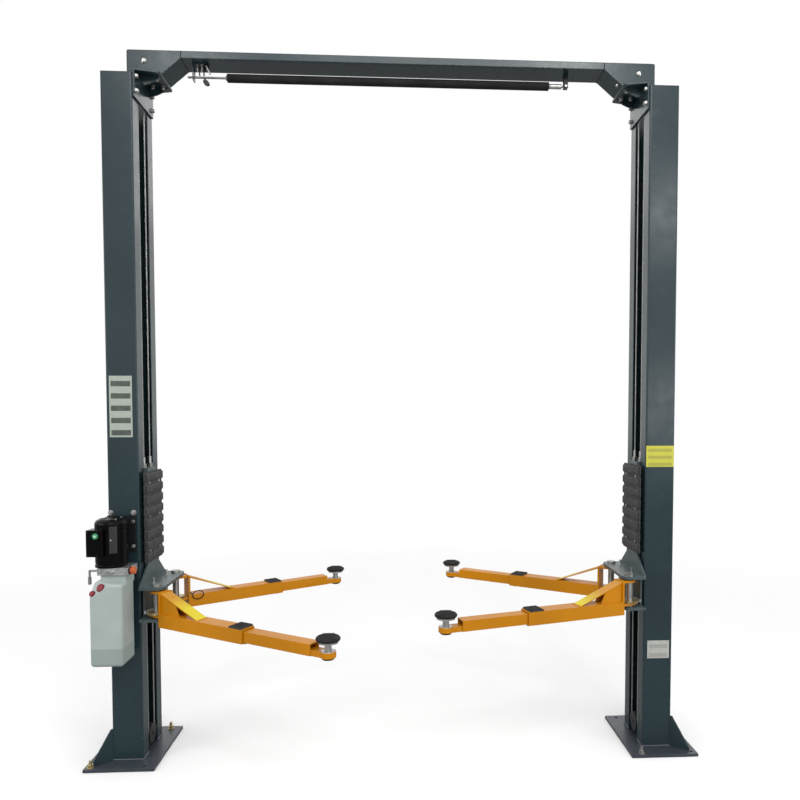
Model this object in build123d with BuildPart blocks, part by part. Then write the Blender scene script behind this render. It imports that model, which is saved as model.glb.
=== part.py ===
from build123d import *
import os
from math import asin, cos, radians, sin

os.makedirs("parts", exist_ok=True)

# Two post car lift, in millimetres. X runs across the bay to the right, Y to the rear, Z up.
# The origin is the middle of the bay on the floor.

# Bay and columns
bay_width = 2800
column_width = 165
column_depth = 320
column_top = 3735
column_wall = 6
column_bend = 8
column_bend_inner = 2
lip_width = 84

# Base plates, with their anchor holes
base_length = 530
base_thickness = 16
base_outer_margin = 120
base_inner_margin = 90
anchor_hole = 20
anchor_outer_edge = 30
anchor_inner_edge = 62
anchor_end_edge = 30

# Diagonal foot gussets at the outer corners of the columns
gusset_run = 105
gusset_height = 175
gusset_sheet = 8
gusset_angle = 35
gusset_toe = 14
gusset_tip = 8
gusset_play = 0.3

# Overhead beam, a trough between two deep haunched end boxes
beam_width = 164
beam_gap = 25
beam_end_depth = 126
beam_mid_depth = 38
beam_sheet = 6
haunch_top_x = 1165
haunch_foot_x = 1268
beam_overhang = 52
beam_corner = 10

# Brackets that carry the beam ends on the columns
bracket_sheet = 10
bracket_drop = 150
bracket_depth = 300
bracket_shelf = 230
bracket_shelf_corner = 14
bracket_rib = 8
bracket_rib_line = 70
bracket_rib_drop = 50
bracket_rib_setback = 12
bracket_rib_hollow = 12

# Equalising cables and their sheaves
cable_diameter = 9
sheave_radius = 50
sheave_flange = 6
sheave_thickness = 20
sheave_groove_play = 0.5
axle_diameter = 20
axle_play = 0.3
axle_proud = 6
sheave_rise = 68
cable_setback = 10
base_sheave_height = 96
stand_sheet = 8
stand_width = 70
stand_rise = 34
stand_play = 6
stand_axle_proud = 2
cable_eye = 26

# Carriages, with the height at which each one stands
carriage_rest = {"left": 830, "right": 855}
carriage_length = 790
carriage_wall = 8
carriage_tube_gap = 16
carriage_tube_width = 118
carriage_tube_depth = 260
web_sheet = 8
web_offset = 60
face_sheet = 10
face_setback = 8
face_half_width = 60
face_flare_rise = 270
face_flare_half = 215
face_low_half = 150
lug_sheet = 12
lug_hole = 20
shelf_sheet = 16
shelf_drop = 35
shelf_height = 190
shelf_lobe = 48

# Slide blocks between the carriage and the column
block_height = 90
block_width = 60
block_play = 0.3
block_end = 20

# Arm pins
pin_diameter = 36
pin_inset = 89
pin_spacing = 340
pin_head = 50
pin_head_height = 12
pin_tail = 10
pin_play = 1

# Door guards, rubber sheets with cross ribs
guard_sheet = 9
guard_rib_proud = 9
guard_width = 280
guard_rise = 268
guard_ribs = 8
guard_rib_pitch = 63
guard_rib_height = 40
guard_notch = 5

# Lift cylinders inside the columns: the rod stands on the base and the barrel goes up
rod_diameter = 45
rod_length = 1790
barrel_diameter = 70
barrel_bore = 52
barrel_drop = 140
barrel_length = 1800
barrel_centre = 85
barrel_cap = 12
barrel_play = 0.3
gland_height = 40
gland_play = 0.3

# Swing arms: outer tube
tube_width = 90
tube_height = 72
tube_wall = 6
tube_drop = 20
outer_length = 660
ear_sheet = 12
ear_radius = 34
ear_play = 8
root_start = 62
root_sheet = 10
strap_width = 70
strap_sheet = 10
strap_end = 340
rest_pad_length = 80
rest_pad_thickness = 8
rest_pad_edge = 10

# Swing arms: inner tube and pad
slide_play = 3
slide_seat = 0.3
inner_wall = 6
inner_length = 780
boss_diameter = 76
boss_height = 28
tongue_width = 60
tongue_length = 42
tongue_overlap = 40
screw_diameter = 32
screw_play = 0.5
screw_length = 82
screw_tail = 14
pad_plate_diameter = 96
pad_plate = 8
pad_diameter = 118
pad_thickness = 26

# How the four arms stand: pin to pad, and how far the pad lies from the pin along the bay
arm_reach = {"front_left": 1157, "rear_left": 1062, "front_right": 1114, "rear_right": 1115}
arm_spread = {"front_left": 608, "rear_left": 574, "front_right": 331, "rear_right": 608}

# Padded shut-off bar under the beam
bar_drop = 65
bar_diameter = 12
bar_left = -1150
bar_pivot = 964
bar_eye = 24
bar_eye_width = 14
bar_pin = 8
foam_diameter = 46
foam_left = -934
foam_right = 866
foam_play = 0.2
hanger_sheet = 4
hanger_gap = 2
hanger_width = 24
switch_slot = 22
switch_slot_rise = 56
switch_slot_play = 2
switch_foot = 38
switch_flange = 70
switch_plate = 5
switch_plate_x = -1120
switch_plate_width = 60

# Power unit on the left column
unit_plate = 8
unit_plate_width = 150
unit_plate_shift = 10
unit_plate_rise = 56
unit_plate_height = 198
unit_standoff = 22
unit_block_width = 110
unit_block_step = 4
unit_block_lap = 40
motor_diameter = 160
motor_bottom = 1118
motor_height = 252
motor_shoulder = 24
motor_shift = 30
pump_width = 156
pump_depth = 142
pump_height = 38
tank_width = 166
tank_depth = 180
tank_height = 434
tank_shift = 18
tank_neck = 34
tank_front = 385
tank_corner = 18
tank_slope_drop = 80
tank_slope_run = 115
tank_slope_back = 85
neck_width = 128
neck_depth = 120
cap_height = 12
filler_cap = 38
breather_cap = 26
box_width = 84
box_depth = 75
box_height = 137
box_rise = 66
box_shift = 88
box_front = 99
motor_seat = 0.3
plug_diameter = 36
plug_length = 28
lever_rod = 11
lever_reach = 52
lever_drop = 72
lever_grip = 17
lever_grip_length = 38
lever_socket = 15
lever_end_play = 1
lever_play = 0.3

# Places worked out from the sizes above
half_bay = bay_width / 2
column_x = half_bay + column_width / 2
column_front = column_depth / 2
cable_radius = cable_diameter / 2
sheave_x = half_bay + cable_setback - sheave_radius
cable_x = sheave_x + sheave_radius
pin_x = half_bay - pin_inset
pin_y = pin_spacing / 2
beam_end_under = column_top + beam_gap
beam_top = beam_end_under + beam_end_depth
beam_under = beam_top - beam_mid_depth
top_sheave_height = beam_end_under + sheave_rise
face_inner = half_bay - face_setback
face_outer = face_inner - face_sheet
tube_face_x = half_bay + column_wall + carriage_tube_gap
bar_height = beam_under - bar_drop
sides = {"left": -1, "right": 1}
ends = {"front": -1, "rear": 1}


def shelf_heights(side_name):
    """Lowest, gap bottom, gap top and highest level of a carriage's two arm shelves."""
    low = carriage_rest[side_name] - shelf_drop
    return low, low + shelf_sheet, low + shelf_height - shelf_sheet, low + shelf_height


def span(a, b):
    """Middle and length of the stretch from a to b."""
    return (a + b) / 2, abs(b - a)


def block(x, y, z, mode=Mode.ADD):
    """Box between two values along each axis."""
    (cx, lx), (cy, ly), (cz, lz) = span(*x), span(*y), span(*z)
    with Locations((cx, cy, cz)):
        Box(lx, ly, lz, mode=mode)


# Base plates
for name, side in sides.items():
    with BuildPart() as base_plate:
        inner = side * (half_bay - base_inner_margin)
        outer = side * (half_bay + column_width + base_outer_margin)
        block((inner, outer), (-base_length / 2, base_length / 2), (0, base_thickness))
        hole_y = base_length / 2 - anchor_end_edge
        hole_xs = (inner + side * anchor_inner_edge, outer - side * anchor_outer_edge)
        with Locations(*[(x, y, base_thickness) for x in hole_xs for y in (-hole_y, hole_y)]):
            Hole(anchor_hole / 2)
    base_plate.part.label = f"base_plate_{name}"
    export_step(base_plate.part, f"parts/base_plate_{name}.step")

# Foot gussets, one diagonal plate at each outer corner of a column
with BuildPart() as base_gussets:
    for side in sides.values():
        for end in ends.values():
            run = Vector(side * cos(radians(gusset_angle)), end * sin(radians(gusset_angle)), 0)
            corner = Vector(side * (half_bay + column_width), end * column_front, base_thickness)
            upright = Plane(origin=corner, x_dir=run, z_dir=run.cross(Vector(0, 0, 1)))
            with BuildSketch(upright):
                with BuildLine():
                    Polyline((-column_bend, 0), (gusset_run, 0), (gusset_run, gusset_toe),
                             (gusset_tip, gusset_height), (-column_bend, gusset_height), close=True)
                make_face()
            extrude(amount=gusset_sheet / 2, both=True)
    for side in sides.values():
        for end in ends.values():
            with BuildSketch(Plane.XY.offset(base_thickness)):
                with Locations((side * column_x, 0)):
                    RectangleRounded(column_width + 2 * gusset_play, column_depth + 2 * gusset_play,
                                     column_bend + gusset_play)
            extrude(amount=gusset_height, mode=Mode.SUBTRACT)
base_gussets.part.label = "base_gussets"
export_step(base_gussets.part, "parts/base_gussets.step")

# Columns, open channels with lips that face the bay
for name, side in sides.items():
    with BuildPart() as column:
        with BuildSketch(Plane.XY.offset(base_thickness)):
            with Locations((side * column_x, 0)):
                RectangleRounded(column_width, column_depth, column_bend)
                RectangleRounded(column_width - 2 * column_wall, column_depth - 2 * column_wall,
                                 column_bend_inner, mode=Mode.SUBTRACT)
            with Locations((side * half_bay, 0)):
                Rectangle(4 * column_wall, column_depth - 2 * lip_width, mode=Mode.SUBTRACT)
        extrude(amount=column_top - base_thickness)
    column.part.label = f"column_{name}"
    export_step(column.part, f"parts/column_{name}.step")

# Beam brackets, a back plate on the column lips and a ribbed shelf under the beam end
with BuildPart() as beam_brackets:
    for side in sides.values():
        back = (side * (half_bay - bracket_sheet), side * half_bay)
        block(back, (-bracket_depth / 2, bracket_depth / 2), (beam_end_under - bracket_drop, beam_end_under))
        with BuildSketch(Plane.XY.offset(beam_end_under - bracket_sheet)) as shelf_plan:
            with BuildLine():
                Polyline((side * half_bay, -bracket_depth / 2), (side * haunch_foot_x, -bracket_shelf / 2),
                         (side * haunch_foot_x, bracket_shelf / 2), (side * half_bay, bracket_depth / 2),
                         close=True)
            make_face()
            bay_corners = shelf_plan.vertices().sort_by(lambda corner: side * corner.X)[:2]
            fillet(bay_corners, bracket_shelf_corner)
        extrude(amount=bracket_sheet)
        for end in ends.values():
            rib_y = end * bracket_rib_line
            inner_x = side * (half_bay - bracket_sheet)
            tip_x = side * (haunch_foot_x + bracket_rib_setback)
            rib_top = beam_end_under - bracket_sheet
            with BuildSketch(Plane.XZ.offset(-rib_y)):
                with BuildLine():
                    Line((inner_x, rib_top), (tip_x, rib_top))
                    rib_bow = rib_top - bracket_rib_drop / 2 - bracket_rib_hollow
                    ThreePointArc((tip_x, rib_top), ((tip_x + inner_x) / 2, rib_bow),
                                  (inner_x, rib_top - bracket_rib_drop))
                    Line((inner_x, rib_top - bracket_rib_drop), (inner_x, rib_top))
                make_face()
            extrude(amount=bracket_rib / 2, both=True)
beam_brackets.part.label = "beam_brackets"
export_step(beam_brackets.part, "parts/beam_brackets.step")

# Overhead beam, a trough that is open at the top, between two haunched end boxes that carry the sheaves
beam_end_x = half_bay + beam_overhang
with BuildPart() as overhead_beam:
    with BuildSketch(Plane.YZ.offset(-haunch_top_x)):
        with Locations((0, (beam_under + beam_top) / 2)):
            Rectangle(beam_width, beam_mid_depth)
        with Locations((0, (beam_under + beam_sheet + beam_top) / 2)):
            Rectangle(beam_width - 2 * beam_sheet, beam_mid_depth - beam_sheet, mode=Mode.SUBTRACT)
    extrude(amount=2 * haunch_top_x)
overhead_beam.part.label = "overhead_beam"
export_step(overhead_beam.part, "parts/overhead_beam.step")

with BuildPart() as beam_ends:
    for side in sides.values():
        outline = [(beam_end_x, beam_end_under), (haunch_foot_x, beam_end_under), (haunch_top_x, beam_under),
                   (haunch_top_x, beam_top)]
        with BuildSketch(Plane.XZ):
            with BuildLine():
                rim = Polyline(*[(side * x, z) for x, z in outline])
                top = Line(rim @ 1, (side * (beam_end_x - beam_corner), beam_top))
                bend = ThreePointArc(top @ 1, (side * (beam_end_x - beam_corner * (1 - cos(radians(45)))),
                                               beam_top - beam_corner * (1 - cos(radians(45)))),
                                     (side * beam_end_x, beam_top - beam_corner))
                Line(bend @ 1, rim @ 0)
            make_face()
        extrude(amount=beam_width / 2, both=True)
        inner_end = beam_end_x - beam_sheet
        inner_foot = haunch_foot_x + beam_sheet / 2
        hollow = [(inner_end, beam_end_under + beam_sheet), (inner_foot, beam_end_under + beam_sheet),
                  (haunch_top_x, beam_under + beam_sheet), (haunch_top_x, beam_top), (inner_end, beam_top)]
        with BuildSketch(Plane.XZ):
            with BuildLine():
                Polyline(*[(side * x, z) for x, z in hollow], close=True)
            make_face()
        extrude(amount=beam_width / 2 - beam_sheet, both=True, mode=Mode.SUBTRACT)
        with Locations(*[(side * cable_x, y, beam_end_under + beam_sheet) for y in (-sheave_radius, sheave_radius)]):
            Hole(cable_eye / 2, depth=2 * beam_sheet)
        with Locations((side * sheave_x, 0, top_sheave_height)):
            Cylinder(axle_diameter / 2 + axle_play, 2 * beam_width, rotation=(90, 0, 0), mode=Mode.SUBTRACT)
beam_ends.part.label = "beam_ends"
export_step(beam_ends.part, "parts/beam_ends.step")


def add_sheave(place):
    """Grooved cable sheave with its axis along the normal of the given plane."""
    section = Plane(origin=place.origin, x_dir=place.x_dir, z_dir=place.z_dir.cross(place.x_dir))
    with BuildSketch(section) as profile:
        bore = axle_diameter / 2 + axle_play
        rim = sheave_radius + sheave_flange
        groove = cable_radius + sheave_groove_play
        with Locations(((bore + rim) / 2, 0)):
            Rectangle(rim - bore, sheave_thickness)
        with Locations((sheave_radius, 0)):
            Circle(groove, mode=Mode.SUBTRACT)
        with Locations((sheave_radius + sheave_flange, 0)):
            Rectangle(2 * sheave_flange, 2 * groove, mode=Mode.SUBTRACT)
    revolve(profile.sketch, axis=Axis(place.origin, place.z_dir))


# Sheaves at the beam ends, two on each axle, and one in the foot of each column
with BuildPart() as beam_sheaves:
    for side in sides.values():
        for y in (-sheave_radius, sheave_radius):
            add_sheave(Plane(origin=(side * sheave_x, y, top_sheave_height), x_dir=(1, 0, 0), z_dir=(0, 1, 0)))
beam_sheaves.part.label = "beam_sheaves"
export_step(beam_sheaves.part, "parts/beam_sheaves.step")

with BuildPart() as base_sheaves:
    for side in sides.values():
        add_sheave(Plane(origin=(side * cable_x, 0, base_sheave_height), x_dir=(0, 1, 0), z_dir=(1, 0, 0)))
base_sheaves.part.label = "base_sheaves"
export_step(base_sheaves.part, "parts/base_sheaves.step")

# Axles through the beam ends
with BuildPart() as beam_axles:
    for side in sides.values():
        with Locations((side * sheave_x, 0, top_sheave_height)):
            Cylinder(axle_diameter / 2, beam_width + 2 * axle_proud, rotation=(90, 0, 0))
beam_axles.part.label = "beam_axles"
export_step(beam_axles.part, "parts/beam_axles.step")

# Stands that carry the lower sheaves
with BuildPart() as sheave_stands:
    for side in sides.values():
        plate_x = cable_x + sheave_thickness / 2 + stand_play
        block((side * plate_x, side * (plate_x + stand_sheet)), (-stand_width / 2, stand_width / 2),
              (base_thickness, base_sheave_height + stand_rise))
        axle_from = cable_x - sheave_thickness / 2 - stand_axle_proud
        with Locations((side * (axle_from + plate_x) / 2, 0, base_sheave_height)):
            Cylinder(axle_diameter / 2, plate_x - axle_from, rotation=(0, 90, 0))
sheave_stands.part.label = "sheave_stands"
export_step(sheave_stands.part, "parts/sheave_stands.step")

# Equalising cables, one endless loop over the beam and round the lower sheaves
with BuildPart() as sync_cable:
    for side in sides.values():
        for y in (-sheave_radius, sheave_radius):
            with BuildSketch(Plane.XY.offset(base_sheave_height)):
                with Locations((side * cable_x, y)):
                    Circle(cable_radius)
            extrude(amount=top_sheave_height - base_sheave_height)
            with BuildSketch(Plane.XY.offset(top_sheave_height)):
                with Locations((side * cable_x, y)):
                    Circle(cable_radius)
            revolve(axis=Axis((side * sheave_x, y, top_sheave_height), (0, -side, 0)), revolution_arc=90)
        with BuildSketch(Plane.XY.offset(base_sheave_height)):
            with Locations((side * cable_x, sheave_radius)):
                Circle(cable_radius)
        revolve(axis=Axis((side * cable_x, 0, base_sheave_height), (-1, 0, 0)), revolution_arc=180)
    for y in (-sheave_radius, sheave_radius):
        with BuildSketch(Plane.YZ):
            with Locations((y, top_sheave_height + sheave_radius)):
                Circle(cable_radius)
        extrude(amount=sheave_x, both=True)
sync_cable.part.label = "sync_cable"
export_step(sync_cable.part, "parts/sync_cable.step")

# Lift rods, which stand on the base plates
with BuildPart() as lift_rods:
    for side in sides.values():
        rod_x = side * (half_bay + barrel_centre)
        with Locations((rod_x, 0, base_thickness + rod_length / 2)):
            Cylinder(rod_diameter / 2, rod_length)
lift_rods.part.label = "lift_rods"
export_step(lift_rods.part, "parts/lift_rods.step")

# Carriages, with what rides on them
for name, side in sides.items():
    carriage_bottom = carriage_rest[name]
    carriage_top = carriage_bottom + carriage_length
    shelf_low, shelf_gap_low, shelf_gap_top, shelf_top = shelf_heights(name)
    with BuildPart() as carriage:
        tube_x = (side * tube_face_x, side * (tube_face_x + carriage_tube_width))
        half_depth = carriage_tube_depth / 2
        block(tube_x, (-half_depth, half_depth), (carriage_bottom, carriage_top))
        block((tube_x[0] + side * carriage_wall, tube_x[1] - side * carriage_wall),
              (-half_depth + carriage_wall, half_depth - carriage_wall), (carriage_bottom, carriage_top),
              mode=Mode.SUBTRACT)
        for end in ends.values():
            block((side * face_inner, side * tube_face_x), (end * web_offset, end * (web_offset + web_sheet)),
                  (carriage_bottom, carriage_top))
        with BuildSketch(Plane.YZ.offset(side * face_outer)):
            with BuildLine():
                right = [(face_half_width + web_sheet, carriage_top),
                         (face_half_width + web_sheet, carriage_bottom + face_flare_rise),
                         (face_flare_half, shelf_top), (face_flare_half, shelf_gap_top),
                         (face_low_half, shelf_gap_top), (face_low_half, shelf_low)]
                Polyline(*right, *[(-y, z) for y, z in reversed(right)], close=True)
            make_face()
        extrude(amount=side * face_sheet)
        for low in (shelf_low, shelf_gap_top):
            with BuildSketch(Plane.XY.offset(low)):
                for end in ends.values():
                    with Locations((side * pin_x, end * pin_y)):
                        Circle(shelf_lobe)
                with Locations((side * (face_outer + face_inner) / 2, 0)):
                    Rectangle(face_sheet, 2 * face_flare_half)
                make_hull()
            extrude(amount=shelf_sheet)
        with Locations(*[(side * pin_x, end * pin_y, shelf_top) for end in ends.values()]):
            Hole(pin_diameter / 2 + pin_play / 2)
        lug_z = (carriage_top - lug_sheet, carriage_top)
        block((side * face_inner, side * tube_face_x), (-web_offset, web_offset), lug_z)
        block(tube_x, (-half_depth, half_depth), lug_z)
        with Locations(*[(side * cable_x, y, carriage_top) for y in (-sheave_radius, sheave_radius)]):
            Hole(lug_hole / 2, depth=2 * lug_sheet)
        with Locations((side * (half_bay + barrel_centre), 0, carriage_top)):
            Hole(barrel_diameter / 2 + barrel_play, depth=2 * lug_sheet)
    carriage.part.label = f"carriage_{name}"
    export_step(carriage.part, f"parts/carriage_{name}.step")

    with BuildPart() as arm_pins:
        for end in ends.values():
            with BuildSketch(Plane.XY.offset(shelf_low - pin_tail)):
                with Locations((side * pin_x, end * pin_y)):
                    Circle(pin_diameter / 2)
            extrude(amount=shelf_height + pin_tail)
            with BuildSketch(Plane.XY.offset(shelf_top)):
                with Locations((side * pin_x, end * pin_y)):
                    Circle(pin_head / 2)
            extrude(amount=pin_head_height)
    arm_pins.part.label = f"arm_pins_{name}"
    export_step(arm_pins.part, f"parts/arm_pins_{name}.step")

    guard_bottom = carriage_bottom + guard_rise
    rib_face = face_outer - guard_sheet
    with BuildPart() as door_guard:
        edge = []
        for i in range(guard_ribs):
            foot = guard_bottom + i * guard_rib_pitch
            edge += [(guard_width / 2 - guard_notch, foot), (guard_width / 2, foot + guard_rib_pitch / 4),
                     (guard_width / 2, foot + guard_rib_pitch * 3 / 4)]
        edge.append((guard_width / 2 - guard_notch, guard_bottom + guard_ribs * guard_rib_pitch))
        with BuildSketch(Plane.YZ.offset(side * face_outer)):
            with BuildLine():
                Polyline(*edge, *[(-y, z) for y, z in reversed(edge)], close=True)
            make_face()
        extrude(amount=-side * guard_sheet)
        for i in range(guard_ribs):
            rib_middle = guard_bottom + (i + 1 / 2) * guard_rib_pitch
            block((side * rib_face, side * (rib_face - guard_rib_proud)),
                  (-guard_width / 2 + guard_notch, guard_width / 2 - guard_notch),
                  (rib_middle - guard_rib_height / 2, rib_middle + guard_rib_height / 2))
    door_guard.part.label = f"door_guard_{name}"
    export_step(door_guard.part, f"parts/door_guard_{name}.step")

    with BuildPart() as slide_blocks:
        for end in ends.values():
            for low in (carriage_bottom + block_end, carriage_top - block_end - block_height):
                mid_x = side * (tube_face_x + carriage_tube_width / 2)
                near, far = carriage_tube_depth / 2, column_front - column_wall - block_play
                block((mid_x - block_width / 2, mid_x + block_width / 2), (end * near, end * far),
                      (low, low + block_height))
    slide_blocks.part.label = f"slide_blocks_{name}"
    export_step(slide_blocks.part, f"parts/slide_blocks_{name}.step")

    barrel_bottom = carriage_bottom - barrel_drop
    with BuildPart() as lift_cylinder:
        with BuildSketch(Plane.XY.offset(barrel_bottom)):
            with Locations((side * (half_bay + barrel_centre), 0)):
                Circle(barrel_diameter / 2)
                Circle(rod_diameter / 2 + gland_play, mode=Mode.SUBTRACT)
        extrude(amount=gland_height)
        with BuildSketch(Plane.XY.offset(barrel_bottom + gland_height)):
            with Locations((side * (half_bay + barrel_centre), 0)):
                Circle(barrel_diameter / 2)
                Circle(barrel_bore / 2, mode=Mode.SUBTRACT)
        extrude(amount=barrel_length - gland_height)
        with BuildSketch(Plane.XY.offset(barrel_bottom + barrel_length)):
            with Locations((side * (half_bay + barrel_centre), 0)):
                Circle(barrel_diameter / 2)
        extrude(amount=barrel_cap)
    lift_cylinder.part.label = f"lift_cylinder_{name}"
    export_step(lift_cylinder.part, f"parts/lift_cylinder_{name}.step")

# Swing arms, each an outer tube on its pin, an inner tube and a screw pad
for name, reach in arm_reach.items():
    end_name, side_name = name.split("_")
    side, end = sides[side_name], ends[end_name]
    shelf_low, shelf_gap_low, shelf_gap_top, shelf_top = shelf_heights(side_name)
    tube_bottom = shelf_low - tube_drop
    tube_top = tube_bottom + tube_height
    swing = asin(arm_spread[name] / reach)
    along = Vector(-side * cos(swing), end * sin(swing), 0)
    pin = Vector(side * pin_x, end * pin_y, 0)

    def level(height):
        """Level plane at a height, with its origin on the pin and its x along the arm."""
        return Plane(origin=pin + Vector(0, 0, height), x_dir=along, z_dir=(0, 0, 1))

    elevation = Plane(origin=pin, x_dir=along, z_dir=along.cross(Vector(0, 0, 1)))
    ear_tops = (shelf_gap_low + ear_play + ear_sheet, shelf_gap_top - ear_play)

    with BuildPart() as outer_arm:
        with BuildSketch(Plane(origin=pin + along * root_start, x_dir=(0, 0, 1), z_dir=along)):
            with Locations((tube_bottom + tube_height / 2, 0)):
                Rectangle(tube_height, tube_width)
        extrude(amount=outer_length - root_start)
        with BuildSketch(Plane(origin=pin + along * (root_start + root_sheet), x_dir=(0, 0, 1), z_dir=along)):
            with Locations((tube_bottom + tube_height / 2, 0)):
                Rectangle(tube_height - 2 * tube_wall, tube_width - 2 * tube_wall)
        extrude(amount=outer_length - root_start - root_sheet, mode=Mode.SUBTRACT)
        with BuildSketch(elevation):
            with Locations((root_start + root_sheet / 2, (tube_bottom + ear_tops[1]) / 2)):
                Rectangle(root_sheet, ear_tops[1] - tube_bottom)
        extrude(amount=tube_width / 2, both=True)
        for top in ear_tops:
            with BuildSketch(level(top - ear_sheet)):
                Circle(ear_radius)
                with Locations(((root_start + root_sheet / 2) / 2, 0)):
                    Rectangle(root_start + root_sheet / 2, 2 * ear_radius)
                Circle(pin_diameter / 2 + pin_play / 2, mode=Mode.SUBTRACT)
            extrude(amount=ear_sheet)
        with BuildSketch(elevation):
            with BuildLine():
                Polyline((root_start, ear_tops[1]), (root_start, ear_tops[1] - strap_sheet),
                         (strap_end - strap_sheet, tube_top), (strap_end, tube_top), close=True)
            make_face()
        extrude(amount=strap_width / 2, both=True)
    outer_arm.part.label = f"outer_arm_{name}"
    export_step(outer_arm.part, f"parts/outer_arm_{name}.step")

    with BuildPart() as rest_pad:
        with BuildSketch(level(tube_top)):
            with Locations((outer_length - rest_pad_edge - rest_pad_length / 2, 0)):
                Rectangle(rest_pad_length, tube_width)
        extrude(amount=rest_pad_thickness)
    rest_pad.part.label = f"rest_pad_{name}"
    export_step(rest_pad.part, f"parts/rest_pad_{name}.step")

    inner_width = tube_width - 2 * tube_wall - 2 * slide_play
    inner_height = tube_height - 2 * tube_wall - slide_play - slide_seat
    inner_bottom = tube_bottom + tube_wall + slide_seat
    with BuildPart() as inner_arm:
        tail = Plane(origin=pin + along * (reach - inner_length), x_dir=(0, 0, 1), z_dir=along)
        tube_run = inner_length - boss_diameter / 2 - tongue_length
        with BuildSketch(tail):
            with Locations((inner_bottom + inner_height / 2, 0)):
                Rectangle(inner_height, inner_width)
                Rectangle(inner_height - 2 * inner_wall, inner_width - 2 * inner_wall, mode=Mode.SUBTRACT)
        extrude(amount=tube_run)
        with BuildSketch(level(inner_bottom)):
            with Locations((reach, 0)):
                Circle(boss_diameter / 2)
            tongue_start = reach - boss_diameter / 2 - tongue_length - tongue_overlap
            with Locations(((tongue_start + reach) / 2, 0)):
                Rectangle(reach - tongue_start, tongue_width)
        extrude(amount=boss_height)
        with BuildSketch(level(inner_bottom)):
            with Locations((reach, 0)):
                Circle(screw_diameter / 2 + screw_play)
        extrude(amount=inner_height, mode=Mode.SUBTRACT)
    inner_arm.part.label = f"inner_arm_{name}"
    export_step(inner_arm.part, f"parts/inner_arm_{name}.step")

    with BuildPart() as pad_screw:
        screw_bottom = inner_bottom - screw_tail
        with BuildSketch(level(screw_bottom)):
            with Locations((reach, 0)):
                Circle(screw_diameter / 2)
        extrude(amount=screw_length)
        with BuildSketch(level(screw_bottom + screw_length)):
            with Locations((reach, 0)):
                Circle(pad_plate_diameter / 2)
        extrude(amount=pad_plate)
    pad_screw.part.label = f"pad_screw_{name}"
    export_step(pad_screw.part, f"parts/pad_screw_{name}.step")

    with BuildPart() as pad_rubber:
        with BuildSketch(level(screw_bottom + screw_length + pad_plate)):
            with Locations((reach, 0)):
                Circle(pad_diameter / 2)
        extrude(amount=pad_thickness)
    pad_rubber.part.label = f"pad_rubber_{name}"
    export_step(pad_rubber.part, f"parts/pad_rubber_{name}.step")

# Padded shut-off bar, which pivots at its right end
with BuildPart() as limit_bar_rod:
    with BuildSketch(Plane.YZ.offset(bar_left)):
        with Locations((0, bar_height)):
            Circle(bar_diameter / 2)
    extrude(amount=bar_pivot - bar_left)
    with Locations((bar_pivot, 0, bar_height)):
        Cylinder(bar_eye / 2, bar_eye_width, rotation=(90, 0, 0))
        Cylinder(bar_pin / 2 + axle_play, 2 * bar_eye_width, rotation=(90, 0, 0), mode=Mode.SUBTRACT)
limit_bar_rod.part.label = "limit_bar_rod"
export_step(limit_bar_rod.part, "parts/limit_bar_rod.step")

with BuildPart() as limit_bar_foam:
    with BuildSketch(Plane.YZ.offset(foam_left)):
        with Locations((0, bar_height)):
            Circle(foam_diameter / 2)
            Circle(bar_diameter / 2 + foam_play, mode=Mode.SUBTRACT)
    extrude(amount=foam_right - foam_left)
limit_bar_foam.part.label = "limit_bar_foam"
export_step(limit_bar_foam.part, "parts/limit_bar_foam.step")

with BuildPart() as bar_hanger:
    for end in ends.values():
        near = bar_eye_width / 2 + hanger_gap
        block((bar_pivot - hanger_width / 2, bar_pivot + hanger_width / 2),
              (end * near, end * (near + hanger_sheet)), (bar_height - bar_eye / 2, beam_under))
    block((bar_pivot - hanger_width / 2, bar_pivot + hanger_width / 2),
          (-near - hanger_sheet, near + hanger_sheet), (beam_under - hanger_sheet, beam_under))
    with Locations((bar_pivot, 0, bar_height)):
        Cylinder(bar_pin / 2, 2 * (near + hanger_sheet), rotation=(90, 0, 0))
bar_hanger.part.label = "bar_hanger"
export_step(bar_hanger.part, "parts/bar_hanger.step")

with BuildPart() as limit_switch:
    with BuildSketch(Plane.YZ.offset(switch_plate_x)):
        with BuildLine():
            low = bar_height - switch_slot
            half = switch_plate_width / 2
            Polyline((-half, beam_under), (half, beam_under), (switch_foot / 2, low), (-switch_foot / 2, low),
                     close=True)
        make_face()
        with Locations((0, bar_height + switch_slot_rise / 2 - bar_diameter / 2 - switch_slot_play)):
            Rectangle(switch_slot, switch_slot_rise, mode=Mode.SUBTRACT)
    extrude(amount=switch_plate)
    block((switch_plate_x, switch_plate_x + switch_flange), (-half, half),
          (beam_under - switch_plate, beam_under))
limit_switch.part.label = "limit_switch"
export_step(limit_switch.part, "parts/limit_switch.step")

# Power unit on the front face of the left column
unit_x = -column_x
motor_x = unit_x - motor_shift
tank_x = unit_x - tank_shift
unit_plate_x = unit_x - unit_plate_shift
plate_front = -column_front - unit_plate
block_back = plate_front - unit_standoff
motor_y = block_back - pump_depth / 2
pump_bottom = motor_bottom - pump_height
with BuildPart() as unit_bracket:
    half = unit_plate_width / 2
    plate_bottom = motor_bottom + unit_plate_rise
    block((unit_plate_x - half, unit_plate_x + half), (plate_front, -column_front),
          (plate_bottom, plate_bottom + unit_plate_height))
    block((motor_x - unit_block_width / 2, motor_x + unit_block_width / 2), (block_back, plate_front),
          (pump_bottom + unit_block_step, plate_bottom + unit_block_lap))
    with Locations((motor_x, motor_y, motor_bottom + motor_height / 2)):
        Cylinder(motor_diameter / 2 + motor_seat, motor_height, mode=Mode.SUBTRACT)
unit_bracket.part.label = "unit_bracket"
export_step(unit_bracket.part, "parts/unit_bracket.step")

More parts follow.
